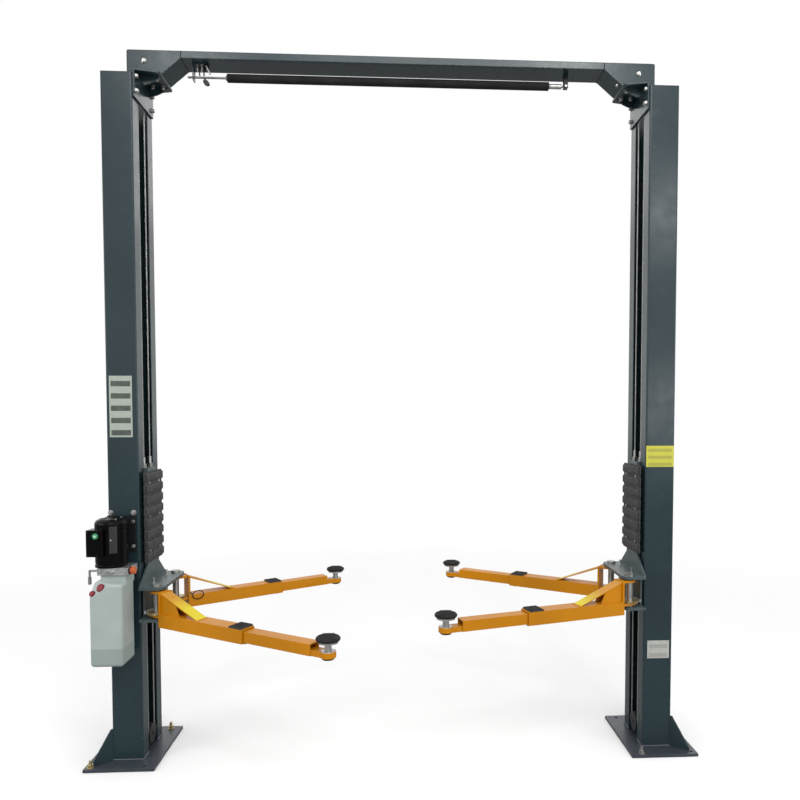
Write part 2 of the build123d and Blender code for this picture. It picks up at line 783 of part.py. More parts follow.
with BuildPart() as pump_block:
    block((unit_x - pump_width / 2, unit_x + pump_width / 2), (block_back - pump_depth, block_back),
          (pump_bottom, motor_bottom))
    lever_y = motor_y - pump_depth / 4
    lever_z = motor_bottom - pump_height / 2
    with Locations((unit_x - pump_width / 2 + lever_socket / 2, lever_y, lever_z)):
        Cylinder(lever_rod / 2 + lever_play, lever_socket, rotation=(0, 90, 0), mode=Mode.SUBTRACT)
pump_block.part.label = "pump_block"
export_step(pump_block.part, "parts/pump_block.step")

with BuildPart() as motor:
    with BuildSketch(Plane.XY.offset(motor_bottom)):
        with Locations((motor_x, motor_y)):
            Circle(motor_diameter / 2)
    extrude(amount=motor_height)
    chamfer(motor.faces().sort_by(Axis.Z)[-1].edges(), motor_shoulder)
motor.part.label = "motor"
export_step(motor.part, "parts/motor.step")

# The junction box wraps the left front of the motor
with BuildPart() as junction_box:
    box_left = motor_x - box_shift
    box_near = motor_y - box_front
    box_bottom = motor_bottom + box_rise
    block((box_left, box_left + box_width), (box_near, box_near + box_depth),
          (box_bottom, box_bottom + box_height))
    with Locations((motor_x, motor_y, box_bottom + box_height / 2)):
        Cylinder(motor_diameter / 2 + motor_seat, 2 * box_height, mode=Mode.SUBTRACT)
junction_box.part.label = "junction_box"
export_step(junction_box.part, "parts/junction_box.step")

# Oil tank, whose front left shoulder slopes and carries the caps
tank_top = pump_bottom - tank_neck
tank_low = tank_top - tank_height
tank_left = tank_x - tank_width / 2
with BuildPart() as oil_tank:
    block((tank_left, tank_x + tank_width / 2), (-tank_front, -tank_front + tank_depth), (tank_low, tank_top))
    fillet(oil_tank.edges(), tank_corner)
    slope_points = [Vector(tank_left, -tank_front, tank_top - tank_slope_drop),
                    Vector(tank_left + tank_slope_run, -tank_front, tank_top),
                    Vector(tank_left, -tank_front + tank_slope_back, tank_top)]
    slope_normal = (slope_points[1] - slope_points[0]).cross(slope_points[2] - slope_points[0]).normalized()
    slope = Plane(origin=slope_points[0], x_dir=slope_points[1] - slope_points[0], z_dir=slope_normal)
    with BuildSketch(slope):
        Rectangle(4 * tank_slope_drop, 4 * tank_slope_drop)
    extrude(amount=tank_slope_drop, mode=Mode.SUBTRACT)
    block((unit_x - neck_width / 2, unit_x + neck_width / 2),
          (motor_y - neck_depth / 2, motor_y + neck_depth / 2), (tank_top - tank_corner, pump_bottom))
oil_tank.part.label = "oil_tank"
export_step(oil_tank.part, "parts/oil_tank.step")
# Filler cap and breather cap, each placed by its share of the slope's two edges
cap_places = [(filler_cap, 0.52, 0.20), (breather_cap, 0.12, 0.16)]
with BuildPart() as tank_caps:
    for diameter, across, back_share in cap_places:
        centre = (slope_points[0] + (slope_points[1] - slope_points[0]) * across
                  + (slope_points[2] - slope_points[0]) * back_share)
        with BuildSketch(Plane(origin=centre, x_dir=slope_points[1] - slope_points[0], z_dir=slope_normal)):
            Circle(diameter / 2)
        extrude(amount=cap_height)
tank_caps.part.label = "tank_caps"
export_step(tank_caps.part, "parts/tank_caps.step")

with BuildPart() as port_plug:
    with Locations((unit_x + pump_width / 2 + plug_length / 2, motor_y - pump_depth / 4, lever_z)):
        Cylinder(plug_diameter / 2, plug_length, rotation=(0, 90, 0))
port_plug.part.label = "port_plug"
export_step(port_plug.part, "parts/port_plug.step")

# Release lever, a bent rod with a grip
with BuildPart() as release_lever:
    lever_face = unit_x - pump_width / 2
    lever_x = lever_face - lever_reach
    shaft_end = lever_face + lever_socket - lever_end_play
    with Locations(((lever_x + shaft_end) / 2, lever_y, lever_z)):
        Cylinder(lever_rod / 2, shaft_end - lever_x, rotation=(0, 90, 0))
    with Locations((lever_x, lever_y, lever_z - lever_drop / 2)):
        Cylinder(lever_rod / 2, lever_drop)
    with Locations((lever_x, lever_y, lever_z - lever_drop + lever_grip_length / 2)):
        Cylinder(lever_grip / 2, lever_grip_length)
    with Locations((lever_x, lever_y, lever_z)):
        Sphere(lever_rod / 2)
release_lever.part.label = "release_lever"
export_step(release_lever.part, "parts/release_lever.step")
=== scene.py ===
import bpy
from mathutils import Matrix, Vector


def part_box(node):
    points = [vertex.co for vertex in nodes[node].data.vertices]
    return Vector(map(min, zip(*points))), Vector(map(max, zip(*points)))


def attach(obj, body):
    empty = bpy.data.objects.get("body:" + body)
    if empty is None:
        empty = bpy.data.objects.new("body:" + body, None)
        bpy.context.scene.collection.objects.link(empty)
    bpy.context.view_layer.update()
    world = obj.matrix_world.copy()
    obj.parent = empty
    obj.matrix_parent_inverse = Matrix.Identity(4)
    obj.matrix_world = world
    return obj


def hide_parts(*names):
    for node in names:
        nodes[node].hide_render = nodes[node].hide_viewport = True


bl_info = {
    "name": "Two Post Car Lift",
    "version": (1, 0, 0),
    "blender": (4, 5, 0),
    "location": "View3D > Sidebar > Car Lift",
    "description": "Finishes and fittings for a two post car lift, built round its packed frame",
    "category": "Add Mesh",
}

from math import cos, pi, radians, sin, sqrt

import bmesh
import bpy
from mathutils import Matrix, Vector

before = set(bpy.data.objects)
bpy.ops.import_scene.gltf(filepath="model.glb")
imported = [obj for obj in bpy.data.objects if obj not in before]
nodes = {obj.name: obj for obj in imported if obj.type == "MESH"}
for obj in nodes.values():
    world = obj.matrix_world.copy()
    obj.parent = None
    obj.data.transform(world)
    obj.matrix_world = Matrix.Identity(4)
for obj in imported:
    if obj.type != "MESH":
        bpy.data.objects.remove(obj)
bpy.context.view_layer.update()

SIDES = {"left": -1, "right": 1}
ENDS = {"front": -1, "rear": 1}
ARMS = ("front_left", "rear_left", "front_right", "rear_right")
UP = Vector((0, 0, 1))
FORWARD = (0, -1, 0)
WHITE = (1, 1, 1, 1)
BARE_METAL = (0.30, 0.31, 0.31, 1)
# Upward share of the way that the arm straps' tops face, which picks the faces that take the painted strap
# highlight
STRAP_LEAN = 0.925
# Height of the oil behind the tank's wall
OIL_LEVEL = 0.708


def low_high(node):
    """Lowest and highest corner of a frame node."""
    low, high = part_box(node)
    return Vector(low), Vector(high)


def middle(node):
    """Middle of a frame node's box."""
    low, high = low_high(node)
    return (low + high) / 2


def around(count):
    """Cosine and sine of equal steps round a circle."""
    return [(cos(2 * pi * i / count), sin(2 * pi * i / count)) for i in range(count)]


# Sizes that a user would change


class LiftPaint(bpy.types.PropertyGroup):
    column_colour: bpy.props.FloatVectorProperty(
        name="Column enamel", description="Slate enamel on the columns, the beam and the cylinders",
        subtype="COLOR", size=4, min=0, max=1, default=(0.0145, 0.0310, 0.0375, 1))
    carriage_colour: bpy.props.FloatVectorProperty(
        name="Carriage enamel", description="Lighter grey enamel on the carriages",
        subtype="COLOR", size=4, min=0, max=1, default=(0.054, 0.079, 0.083, 1))
    arm_colour: bpy.props.FloatVectorProperty(
        name="Arm enamel", description="Orange yellow enamel on the swing arms",
        subtype="COLOR", size=4, min=0, max=1, default=(0.54, 0.206, 0.001, 1))
    # Painted highlight: the lemon colour laid on the arm straps where the light catches them
    strap_highlight_colour: bpy.props.FloatVectorProperty(
        name="Strap painted highlight", description="Lemon yellow where the light catches the brace straps",
        subtype="COLOR", size=4, min=0, max=1, default=(0.68, 0.56, 0.010, 1))
    edge_radius: bpy.props.FloatProperty(
        name="Edge softness", description="Radius over which enamel edges catch the light",
        subtype="DISTANCE", unit="LENGTH", min=0, default=0.0025)


class LiftFasteners(bpy.types.PropertyGroup):
    bolt_flats: bpy.props.FloatProperty(
        name="Bolt across flats", description="Width of the bracket bolt heads across their flats",
        subtype="DISTANCE", unit="LENGTH", min=0.005, default=0.022)
    bolt_head: bpy.props.FloatProperty(
        name="Bolt head", description="Height of the bracket bolt heads",
        subtype="DISTANCE", unit="LENGTH", min=0.002, default=0.009)
    anchor_flats: bpy.props.FloatProperty(
        name="Anchor nut across flats", description="Width of the anchor nuts across their flats",
        subtype="DISTANCE", unit="LENGTH", min=0.005, default=0.027)
    anchor_rise: bpy.props.FloatProperty(
        name="Anchor stud rise", description="How far an anchor stud stands above its nut",
        subtype="DISTANCE", unit="LENGTH", min=0, default=0.022)
    weld_width: bpy.props.FloatProperty(
        name="Weld bead width", description="Width of the weld beads round the column feet",
        subtype="DISTANCE", unit="LENGTH", min=0.002, default=0.009)
    weld_ripple: bpy.props.FloatProperty(
        name="Weld ripple pitch", description="Distance from one ripple of a weld bead to the next",
        subtype="DISTANCE", unit="LENGTH", min=0.001, default=0.0045)


class LiftGuards(bpy.types.PropertyGroup):
    rib_count: bpy.props.IntProperty(
        name="Guard ribs", description="Number of cross ribs on each door guard", min=1, default=8)
    rib_proud: bpy.props.FloatProperty(
        name="Rib height", description="How far a rib stands out of the guard's sheet",
        subtype="DISTANCE", unit="LENGTH", min=0.001, default=0.009)
    tread_pitch: bpy.props.FloatProperty(
        name="Pad tread pitch", description="Distance between the studs on the round pads",
        subtype="DISTANCE", unit="LENGTH", min=0.004, default=0.011)
    thread_pitch: bpy.props.FloatProperty(
        name="Screw thread pitch", description="Pitch of the thread on the pad screws",
        subtype="DISTANCE", unit="LENGTH", min=0.002, default=0.004)


class LiftStage(bpy.types.PropertyGroup):
    floor_size: bpy.props.FloatProperty(
        name="Floor size", description="Side of the square floor",
        subtype="DISTANCE", unit="LENGTH", min=4, default=60)
    sky_strength: bpy.props.FloatProperty(
        name="Sky strength", description="Strength of the even white light from all round",
        min=0, default=0.84)
    lamp_power: bpy.props.FloatProperty(
        name="Lamp power", description="Power of which every lamp takes its own share",
        unit="POWER", min=0, default=230)


# Nodes for finishes


class Wiring:
    """A node tree, with the few ways in which nodes are added to it."""

    def __init__(self, tree):
        self.tree = tree

    def node(self, kind, inputs=None, **settings):
        """New node with the given settings, and its inputs by name or by place."""
        node = self.tree.nodes.new(kind)
        for name, value in settings.items():
            setattr(node, name, value)
        for socket, value in (inputs or {}).items():
            self.feed(node.inputs[socket], value)
        return node

    def feed(self, socket, value):
        """Links an input to another node's output, or sets it to a plain value."""
        if isinstance(value, bpy.types.NodeSocket):
            self.tree.links.new(value, socket)
        else:
            socket.default_value = value

    def maths(self, operation, a, b=0.0):
        return self.node("ShaderNodeMath", {0: a, 1: b}, operation=operation).outputs[0]

    def product(self, a, b):
        return self.maths("MULTIPLY", a, b)

    def split(self, vector):
        """The x, y and z of a vector, by their names."""
        return self.node("ShaderNodeSeparateXYZ", {0: vector}).outputs


class Finish(Wiring):
    """One procedural material, with the mixing nodes that the lift's finishes share."""

    def __init__(self, name):
        self.material = bpy.data.materials.new(name)
        self.material.use_nodes = True
        super().__init__(self.material.node_tree)
        self.shader = self.tree.nodes["Principled BSDF"]
        self.place = self.tree.nodes.new("ShaderNodeTexCoord").outputs["Object"]

    def set(self, **values):
        """Links or sets inputs of the shader, with _ for a space in the name."""
        for name, value in values.items():
            self.feed(self.shader.inputs[name.replace("_", " ")], value)
        return self

    def stretched(self, scale):
        """Object coordinates stretched along each axis."""
        return self.node("ShaderNodeMapping", {"Vector": self.place, "Scale": scale}).outputs[0]

    def noise(self, scale, detail=3, vector=None, rough=0.5):
        """Cloudy noise on the piece's own coordinates, unless it is given others."""
        return self.node("ShaderNodeTexNoise", {
            "Vector": vector or self.place, "Scale": scale, "Detail": detail,
            "Roughness": rough}).outputs["Fac"]

    def ramp(self, value, low, high, start=0.0, end=1.0):
        """Maps a value between low and high to start and end."""
        return self.node("ShaderNodeMapRange", {
            "Value": value, "From Min": low, "From Max": high, "To Min": start, "To Max": end}).outputs[0]

    def mix(self, factor, a, b):
        mixer = self.node("ShaderNodeMix", data_type="RGBA")
        self.feed(mixer.inputs["Factor"], factor)
        self.feed(mixer.inputs["A"], a)
        self.feed(mixer.inputs["B"], b)
        return mixer.outputs["Result"]

    def edge(self, radius, contrast=6.0):
        """How near a point is to an edge, from the turn of a softened normal, and that normal."""
        soft = self.node("ShaderNodeBevel", {"Radius": radius}, samples=4).outputs[0]
        true_normal = self.node("ShaderNodeNewGeometry").outputs["Normal"]
        match = self.node("ShaderNodeVectorMath", {0: soft, 1: true_normal}, operation="DOT_PRODUCT")
        turned = self.maths("SUBTRACT", 1.0, match.outputs["Value"])
        near = self.node("ShaderNodeMath", {0: turned, 1: contrast}, operation="MULTIPLY", use_clamp=True)
        return near.outputs[0], soft

    def bump(self, height, strength, distance, normal=None):
        """Gives the shader a raised grain, on top of a softened normal where one is given."""
        node = self.node("ShaderNodeBump", {"Height": height, "Strength": strength, "Distance": distance})
        if normal is not None:
            self.feed(node.inputs["Normal"], normal)
        self.set(Normal=node.outputs[0])


def shade(colour, factor):
    """A colour made lighter or darker."""
    return tuple(min(c * factor, 1.0) for c in colour[:3]) + (1.0,)


def enamel(name, colour, roughness, edge_radius, worn=BARE_METAL, wear=0.35, streak=0.10,
           gloss=0.5, coat=0.12, slanted_highlight=None):
    """Sprayed enamel: orange peel, a little colour drift, rubbed edges and faint handling marks. Where the
    edge radius is wide, as on the columns, the lighter rubbed edges are partly wear and partly a painted
    highlight along the corners.

    A painted highlight colour goes on the low plates that lean back from level, as the arm straps do, most
    strongly lower down.
    """
    f = Finish(name)
    drift = f.noise(1.6, 4)
    tint = f.mix(f.ramp(drift, 0.3, 0.7), shade(colour, 0.86), shade(colour, 1.16))
    # Painted highlight on the strap tops, chosen by the faces' slope and stronger lower down
    if slanted_highlight is not None:
        upward = f.split(f.node("ShaderNodeNewGeometry").outputs["Normal"])["Z"]
        lean = f.maths("ABSOLUTE", f.maths("SUBTRACT", upward, STRAP_LEAN))
        height = f.split(f.place)["Z"]
        highlight_patch = f.product(f.ramp(lean, 0.050, 0.020), f.ramp(height, 0.935, 0.885, 0.10, 1.0))
        tint = f.mix(highlight_patch, tint, slanted_highlight)
    rubbed, soft = f.edge(edge_radius)
    patches = f.ramp(f.noise(38, 6, rough=0.7), 0.50, 0.64)
    marks = f.ramp(f.noise(9, 5, f.stretched((1, 1, 7)), 0.65), 0.62, 0.74, 0, streak)
    # Lighter rubbed edges: wear, and on the widened column edges also a painted highlight
    edge_wear_and_highlight = f.product(f.product(rubbed, patches), wear)
    tint = f.mix(edge_wear_and_highlight, tint, worn)
    tint = f.mix(marks, tint, shade(colour, 1.9))
    f.set(Base_Color=tint)
    f.set(Roughness=f.ramp(f.noise(14, 5), 0.3, 0.75, roughness - 0.03, roughness + 0.06))
    f.bump(f.noise(420, 2), 0.05, 0.0006, soft)
    return f.set(Specular_IOR_Level=gloss, Coat_Weight=coat, Coat_Roughness=0.2).material


def bright_steel(name, colour, roughness):
    """Zinc plated or turned steel with fine lines and dull patches."""
    f = Finish(name)
    lines = f.noise(60, 3, f.stretched((1, 1, 14)))
    patches = f.noise(18, 5)
    f.set(Base_Color=f.mix(f.ramp(patches, 0.35, 0.7), shade(colour, 0.72), shade(colour, 1.12)))
    f.set(Roughness=f.ramp(patches, 0.3, 0.7, roughness, roughness + 0.16))
    f.bump(lines, 0.12, 0.0004)
    return f.set(Metallic=1.0).material


def moulded_rubber(name, colour=(0.022, 0.022, 0.023, 1), roughness=0.62, dust=0.25, gloss=0.5):
    """Moulded rubber with a grain, dusty hollows and scuffed edges."""
    f = Finish(name)
    rubbed, soft = f.edge(0.0016, 4.0)
    dusty = f.ramp(f.noise(11, 6, rough=0.65), 0.42, 0.75, 0, dust)
    tint = f.mix(dusty, colour, (0.115, 0.112, 0.105, 1))
    tint = f.mix(f.product(rubbed, 0.22), tint, (0.16, 0.16, 0.16, 1))
    f.set(Base_Color=tint)
    f.set(Roughness=f.ramp(f.noise(30, 3), 0.3, 0.7, roughness - 0.08, roughness + 0.12))
    f.bump(f.noise(900, 2), 0.12, 0.0005, soft)
    return f.set(Specular_IOR_Level=gloss).material


def cell_foam(name):
    """Closed cell foam sleeve with a fine open skin."""
    f = Finish(name)
    cells = f.node("ShaderNodeTexVoronoi", {"Vector": f.place, "Scale": 520.0}).outputs["Distance"]
    f.set(Base_Color=f.mix(f.ramp(f.noise(7, 5), 0.35, 0.7), (0.007, 0.007, 0.008, 1),
                           (0.016, 0.016, 0.017, 1)))
    f.bump(cells, 0.35, 0.0012)
    return f.set(Roughness=0.80, Specular_IOR_Level=0.25).material


def tank_plastic(name, fluid_line):
    """Milky blow moulded plastic, darker where the hydraulic oil stands behind the wall."""
    f = Finish(name)
    height = f.split(f.place)["Z"]
    wavy = f.maths("ADD", height, f.ramp(f.noise(6, 2), 0.3, 0.7, -0.002, 0.002))
    below = f.ramp(wavy, fluid_line + 0.004, fluid_line - 0.004)
    cloud = f.ramp(f.noise(5, 4), 0.3, 0.7)
    dry = f.mix(cloud, (0.35, 0.410, 0.390, 1), (0.40, 0.460, 0.438, 1))
    wet = f.mix(cloud, (0.265, 0.322, 0.302, 1), (0.305, 0.362, 0.342, 1))
    f.set(Base_Color=f.mix(below, dry, wet))
    f.set(Roughness=f.ramp(f.noise(22, 4), 0.3, 0.7, 0.34, 0.46))
    f.bump(f.noise(34, 3), 0.10, 0.002)
    f.set(Subsurface_Weight=0.12, Subsurface_Radius=(0.02, 0.02, 0.02), Subsurface_Scale=0.5)
    return f.material


def moulded_plastic(name, colour, roughness):
    """Moulded plastic with a fine grain."""
    f = Finish(name)
    f.set(Base_Color=f.mix(f.ramp(f.noise(16, 4), 0.3, 0.7), shade(colour, 0.88), shade(colour, 1.10)))
    f.set(Roughness=f.ramp(f.noise(40, 4), 0.3, 0.7, roughness - 0.05, roughness + 0.08))
    f.bump(f.noise(700, 2), 0.10, 0.0004)
    return f.material


def cast_alloy(name):
    """Sand cast pump alloy, bright on its machined faces."""
    f = Finish(name)
    rubbed, soft = f.edge(0.003, 5.0)
    base = f.mix(f.ramp(f.noise(26, 6), 0.35, 0.7), (0.33, 0.34, 0.35, 1), (0.60, 0.61, 0.62, 1))
    f.set(Base_Color=f.mix(f.product(rubbed, 0.5), base, (0.8, 0.8, 0.8, 1)))
    f.set(Roughness=f.ramp(f.noise(60, 3), 0.3, 0.7, 0.30, 0.48))
    f.bump(f.noise(240, 3), 0.22, 0.0008, soft)
    return f.set(Metallic=0.85).material


def stranded_cable(name):
    """Steel rope: slanted strands from a wave across the rope's own length and side."""
    f = Finish(name)
    along = f.stretched((90, 90, 60))
    strands = f.node("ShaderNodeTexWave", {"Vector": along, "Scale": 1.0, "Distortion": 0.6},
                     wave_type="BANDS", bands_direction="DIAGONAL").outputs["Fac"]
    grime = f.ramp(f.noise(12, 5), 0.4, 0.7)
    bright = f.mix(strands, (0.10, 0.10, 0.10, 1), (0.62, 0.62, 0.60, 1))
    f.set(Base_Color=f.mix(f.product(grime, 0.35), bright, (0.13, 0.12, 0.10, 1)))
    f.bump(strands, 0.6, 0.0012)
    return f.set(Metallic=0.9, Roughness=0.38).material


def blank_plate(name, ground, panel, panels, roughness=0.35, metallic=0.0):
    """A plate without print: a plain ground with plain panels that the piece's own UV map places."""
    f = Finish(name)
    place = f.split(f.node("ShaderNodeUVMap", uv_map="panel").outputs["UV"])
    rows = f.maths("FRACT", f.product(place["Y"], float(panels)))
    side = f.maths("ABSOLUTE", f.maths("SUBTRACT", place["X"], 0.5))
    in_row = f.product(f.maths("GREATER_THAN", rows, 0.14), f.maths("LESS_THAN", rows, 0.58))
    inside = f.product(in_row, f.maths("LESS_THAN", side, 0.43))
    worn = f.ramp(f.noise(45, 5), 0.35, 0.75, 0.0, 0.22)
    tint = f.mix(inside, ground, panel)
    f.set(Base_Color=f.mix(worn, tint, shade(ground, 0.6)))
    f.set(Roughness=f.ramp(f.noise(30, 3), 0.3, 0.7, roughness - 0.06, roughness + 0.1))
    f.bump(f.noise(160, 2), 0.06, 0.0003)
    return f.set(Metallic=metallic).material


finishes = {}


# Geometry Nodes


class Grower(Wiring):
    """One Geometry Nodes tree with named sizes, which ends in Realize Instances and Set Material."""

    def __init__(self, name, sizes):
        super().__init__(bpy.data.node_groups.new(name, "GeometryNodeTree"))
        sockets = self.tree.interface
        sockets.new_socket("Geometry", in_out="INPUT", socket_type="NodeSocketGeometry")
        for label, default in sizes.items():
            kind = "NodeSocketInt" if isinstance(default, int) else "NodeSocketFloat"
            socket = sockets.new_socket(label, in_out="INPUT", socket_type=kind)
            socket.default_value = default
            if kind == "NodeSocketFloat" and label not in ("Turns", "Taper"):
                socket.subtype = "DISTANCE"
        sockets.new_socket("Finish", in_out="INPUT", socket_type="NodeSocketMaterial")
        sockets.new_socket("Geometry", in_out="OUTPUT", socket_type="NodeSocketGeometry")
        self.given = self.tree.nodes.new("NodeGroupInput").outputs
        self.result = self.tree.nodes.new("NodeGroupOutput").inputs["Geometry"]

    def half(self, size):
        """Half of a named size, as a radius is of its diameter."""
        return self.product(self.given[size], 0.5)

    def vector(self, x=0.0, y=0.0, z=0.0):
        return self.node("ShaderNodeCombineXYZ", {"X": x, "Y": y, "Z": z}).outputs[0]

    def moved(self, geometry, offset):
        return self.node("GeometryNodeTransform", {"Geometry": geometry, "Translation": offset}).outputs[0]

    def path(self):
        """The edges of the seed mesh as a curve."""
        return self.node("GeometryNodeMeshToCurve", {"Mesh": self.given["Geometry"]}).outputs[0]

    def circle(self, sides, radius):
        ring = self.node("GeometryNodeCurvePrimitiveCircle", {"Resolution": sides, "Radius": radius})
        return ring.outputs["Curve"]

    def swept(self, path, section):
        """A section carried along a path, with closed ends."""
        return self.node("GeometryNodeCurveToMesh", {
            "Curve": path, "Profile Curve": section, "Fill Caps": True}).outputs[0]

    def turn_to(self, way, axis):
        """Turn that brings an axis to a direction."""
        return self.node("FunctionNodeAlignRotationToVector", {"Vector": way}, axis=axis).outputs[0]

    def point_axis(self):
        """The direction that each point of the seed mesh holds."""
        held = self.node("GeometryNodeInputNamedAttribute", {"Name": "axis"}, data_type="FLOAT_VECTOR")
        return held.outputs["Attribute"]

    def copies(self, shape, points=None, **how):
        """A copy of the shape on every point, with a Rotation and a Scale where they are given."""
        return self.node("GeometryNodeInstanceOnPoints", {
            "Points": points or self.given["Geometry"], "Instance": shape, **how}).outputs[0]

    def joined(self, *parts):
        node = self.node("GeometryNodeJoinGeometry")
        for part in parts:
            self.tree.links.new(part, node.inputs[0])
        return node.outputs[0]

    def cylinder(self, sides, radius, depth):
        """Upright cylinder that stands on the origin."""
        shape = self.node("GeometryNodeMeshCylinder", {"Vertices": sides, "Radius": radius, "Depth": depth})
        return self.moved(shape.outputs["Mesh"], self.vector(z=self.product(depth, 0.5)))

    def finish(self, geometry):
        real = self.node("GeometryNodeRealizeInstances", {"Geometry": geometry}).outputs[0]
        painted = self.node("GeometryNodeSetMaterial", {"Geometry": real, "Material": self.given["Finish"]})
        self.tree.links.new(painted.outputs[0], self.result)
        return self.tree


def raised_fastener_tree(name, nut):
    """Hex heads, or nuts with a stud, on every point, upright along the point's own axis."""
    g = Grower(name, {"Flats": 0.022, "Head": 0.009, "Washer": 0.030, "Washer thickness": 0.0025,
                      "Stud": 0.004})
    flats, washer_top = g.given["Flats"], g.given["Washer thickness"]
    washer = g.cylinder(28, g.half("Washer"), washer_top)
    head = g.moved(g.cylinder(6, g.product(flats, 1 / sqrt(3)), g.given["Head"]), g.vector(z=washer_top))
    if nut:
        crown = g.cylinder(20, g.product(flats, 0.30), g.given["Stud"])
    else:
        crown = g.node("GeometryNodeMeshCone", {
            "Vertices": 24, "Radius Bottom": g.product(flats, 0.47), "Radius Top": g.product(flats, 0.36),
            "Depth": g.given["Stud"]}).outputs["Mesh"]
    crown = g.moved(crown, g.vector(z=g.maths("ADD", washer_top, g.given["Head"])))
    turn = g.turn_to(g.point_axis(), "Z")
    return g.finish(g.copies(g.joined(washer, head, crown), Rotation=turn))


def weld_tree():
    """Overlapping ripples along a path, each a little different from the last."""
    g = Grower("weld bead", {"Width": 0.009, "Ripple": 0.0045, "Seed": 7})
    points = g.node("GeometryNodeResampleCurve", {"Curve": g.path(), "Length": g.given["Ripple"]},
                    mode="LENGTH").outputs[0]
    turn = g.turn_to(g.node("GeometryNodeInputTangent").outputs[0], "X")
    ball = g.node("GeometryNodeMeshIcoSphere", {
        "Radius": g.half("Width"), "Subdivisions": 2}).outputs["Mesh"]
    size = g.node("FunctionNodeRandomValue", {
        "Min": (0.72, 0.85, 0.75), "Max": (0.95, 1.1, 0.95), "Seed": g.given["Seed"]},
        data_type="FLOAT_VECTOR").outputs[0]
    return g.finish(g.copies(ball, points, Rotation=turn, Scale=size))


def rod_tree():
    """Round rod or tube along a path."""
    g = Grower("bent rod", {"Diameter": 0.008, "Sides": 12})
    rod = g.swept(g.path(), g.circle(g.given["Sides"], g.half("Diameter")))
    return g.finish(g.node("GeometryNodeSetShadeSmooth", {"Geometry": rod}).outputs[0])


def wound_tree(name, wire_sides):
    """Wire wound upright round every point, as a screw thread or a coil spring."""
    g = Grower(name, {"Diameter": 0.030, "Wire": 0.0024, "Length": 0.08, "Turns": 20.0})
    radius = g.half("Diameter")
    wound = g.node("GeometryNodeCurveSpiral", {
        "Resolution": 20, "Rotations": g.given["Turns"], "Start Radius": radius, "End Radius": radius,
        "Height": g.given["Length"]}).outputs["Curve"]
    return g.finish(g.copies(g.swept(wound, g.circle(wire_sides, g.half("Wire")))))


def rib_tree():
    """Ribs with rounded edges along straight level lines."""
    g = Grower("rounded ribs", {"Tall": 0.044, "Proud": 0.009, "Corner": 0.006})
    upright = g.node("GeometryNodeSetCurveNormal", {"Curve": g.path()}, mode="Z_UP").outputs[0]
    section = g.node("GeometryNodeCurvePrimitiveQuadrilateral", {
        "Width": g.product(g.given["Proud"], 2.0), "Height": g.given["Tall"]}).outputs["Curve"]
    rounded = g.node("GeometryNodeFilletCurve", {"Curve": section, "Count": 4, "Radius": g.given["Corner"]},
                     mode="POLY").outputs[0]
    return g.finish(g.swept(upright, rounded))


def stud_tree():
    """Tapered studs on every point, four sided by default, as on a moulded tread."""
    g = Grower("tread studs", {"Foot": 0.009, "Top": 0.004, "Rise": 0.003, "Sides": 4})
    stud = g.node("GeometryNodeMeshCone", {
        "Vertices": g.given["Sides"], "Radius Bottom": g.half("Foot"), "Radius Top": g.half("Top"),
        "Depth": g.given["Rise"]}).outputs["Mesh"]
    return g.finish(g.copies(stud, Rotation=g.turn_to(g.point_axis(), "Z")))


def bar_tree():
    """Bars on every point, slimmer towards the outside, as teeth, vents and grips."""
    g = Grower("tapered bars", {"Across": 0.006, "Proud": 0.006, "Tall": 0.012, "Taper": 0.6})
    size = g.vector(g.given["Proud"], g.given["Across"], g.given["Tall"])
    box = g.node("GeometryNodeMeshCube", {"Size": size}).outputs["Mesh"]
    place = g.split(g.node("GeometryNodeInputPosition").outputs[0])
    half = g.half("Proud")
    share = g.node("ShaderNodeMapRange", {
        "Value": place["X"], "From Min": g.product(half, -1.0), "From Max": half, "To Min": 1.0,
        "To Max": g.given["Taper"]}).outputs[0]
    slimmed = g.vector(place["X"], g.product(place["Y"], share), place["Z"])
    tapered = g.node("GeometryNodeSetPosition", {"Geometry": box, "Position": slimmed}).outputs[0]
    return g.finish(g.copies(tapered, Rotation=g.turn_to(g.point_axis(), "X")))


TREES = {
    "bolt": lambda: raised_fastener_tree("hex bolts", False),
    "nut": lambda: raised_fastener_tree("stud nuts", True),
    "weld": weld_tree,
    "studs": stud_tree,
    "thread": lambda: wound_tree("screw thread", 4),
    "coil": lambda: wound_tree("coil springs", 6),
    "ribs": rib_tree,
    "teeth": bar_tree,
    "rod": rod_tree,
}
growers = {}


def grower(kind):
    """One of the trees, made when it is first needed."""
    if kind not in growers:
        growers[kind] = TREES[kind]()
    return growers[kind]


def grow(name, tree, sizes, finish, points=(), edges=(), axes=None):
    """Plain mesh piece from a tree that works on the given points or path."""
    mesh = bpy.data.meshes.new(name)
    mesh.from_pydata([tuple(p) for p in points], [tuple(e) for e in edges], [])
    if axes is not None:
        attribute = mesh.attributes.new("axis", "FLOAT_VECTOR", "POINT")
        for item, axis in zip(attribute.data, axes):
            item.vector = axis
    seed_object = bpy.data.objects.new(name + "_seed", mesh)
    bpy.context.scene.collection.objects.link(seed_object)
    modifier = seed_object.modifiers.new("grow", "NODES")
    modifier.node_group = tree
    for item in tree.interface.items_tree:
        if item.item_type == "SOCKET" and item.in_out == "INPUT":
            if item.name in sizes:
                modifier[item.identifier] = sizes[item.name]
            elif item.name == "Finish":
                modifier[item.identifier] = finish
    depsgraph = bpy.context.evaluated_depsgraph_get()
    result = bpy.data.meshes.new_from_object(seed_object.evaluated_get(depsgraph))
    seed_object.modifiers.remove(modifier)
    bpy.data.objects.remove(seed_object)
    bpy.data.meshes.remove(mesh)
    result.name = name
    if not result.polygons:
        raise RuntimeError(f"{name} has no faces")
    bm = bmesh.new()
    bm.from_mesh(result)
    bmesh.ops.recalc_face_normals(bm, faces=bm.faces)
    bm.to_mesh(result)
    bm.free()
    piece = bpy.data.objects.new(name, result)
    bpy.context.scene.collection.objects.link(piece)
    return piece


# Plain mesh helpers


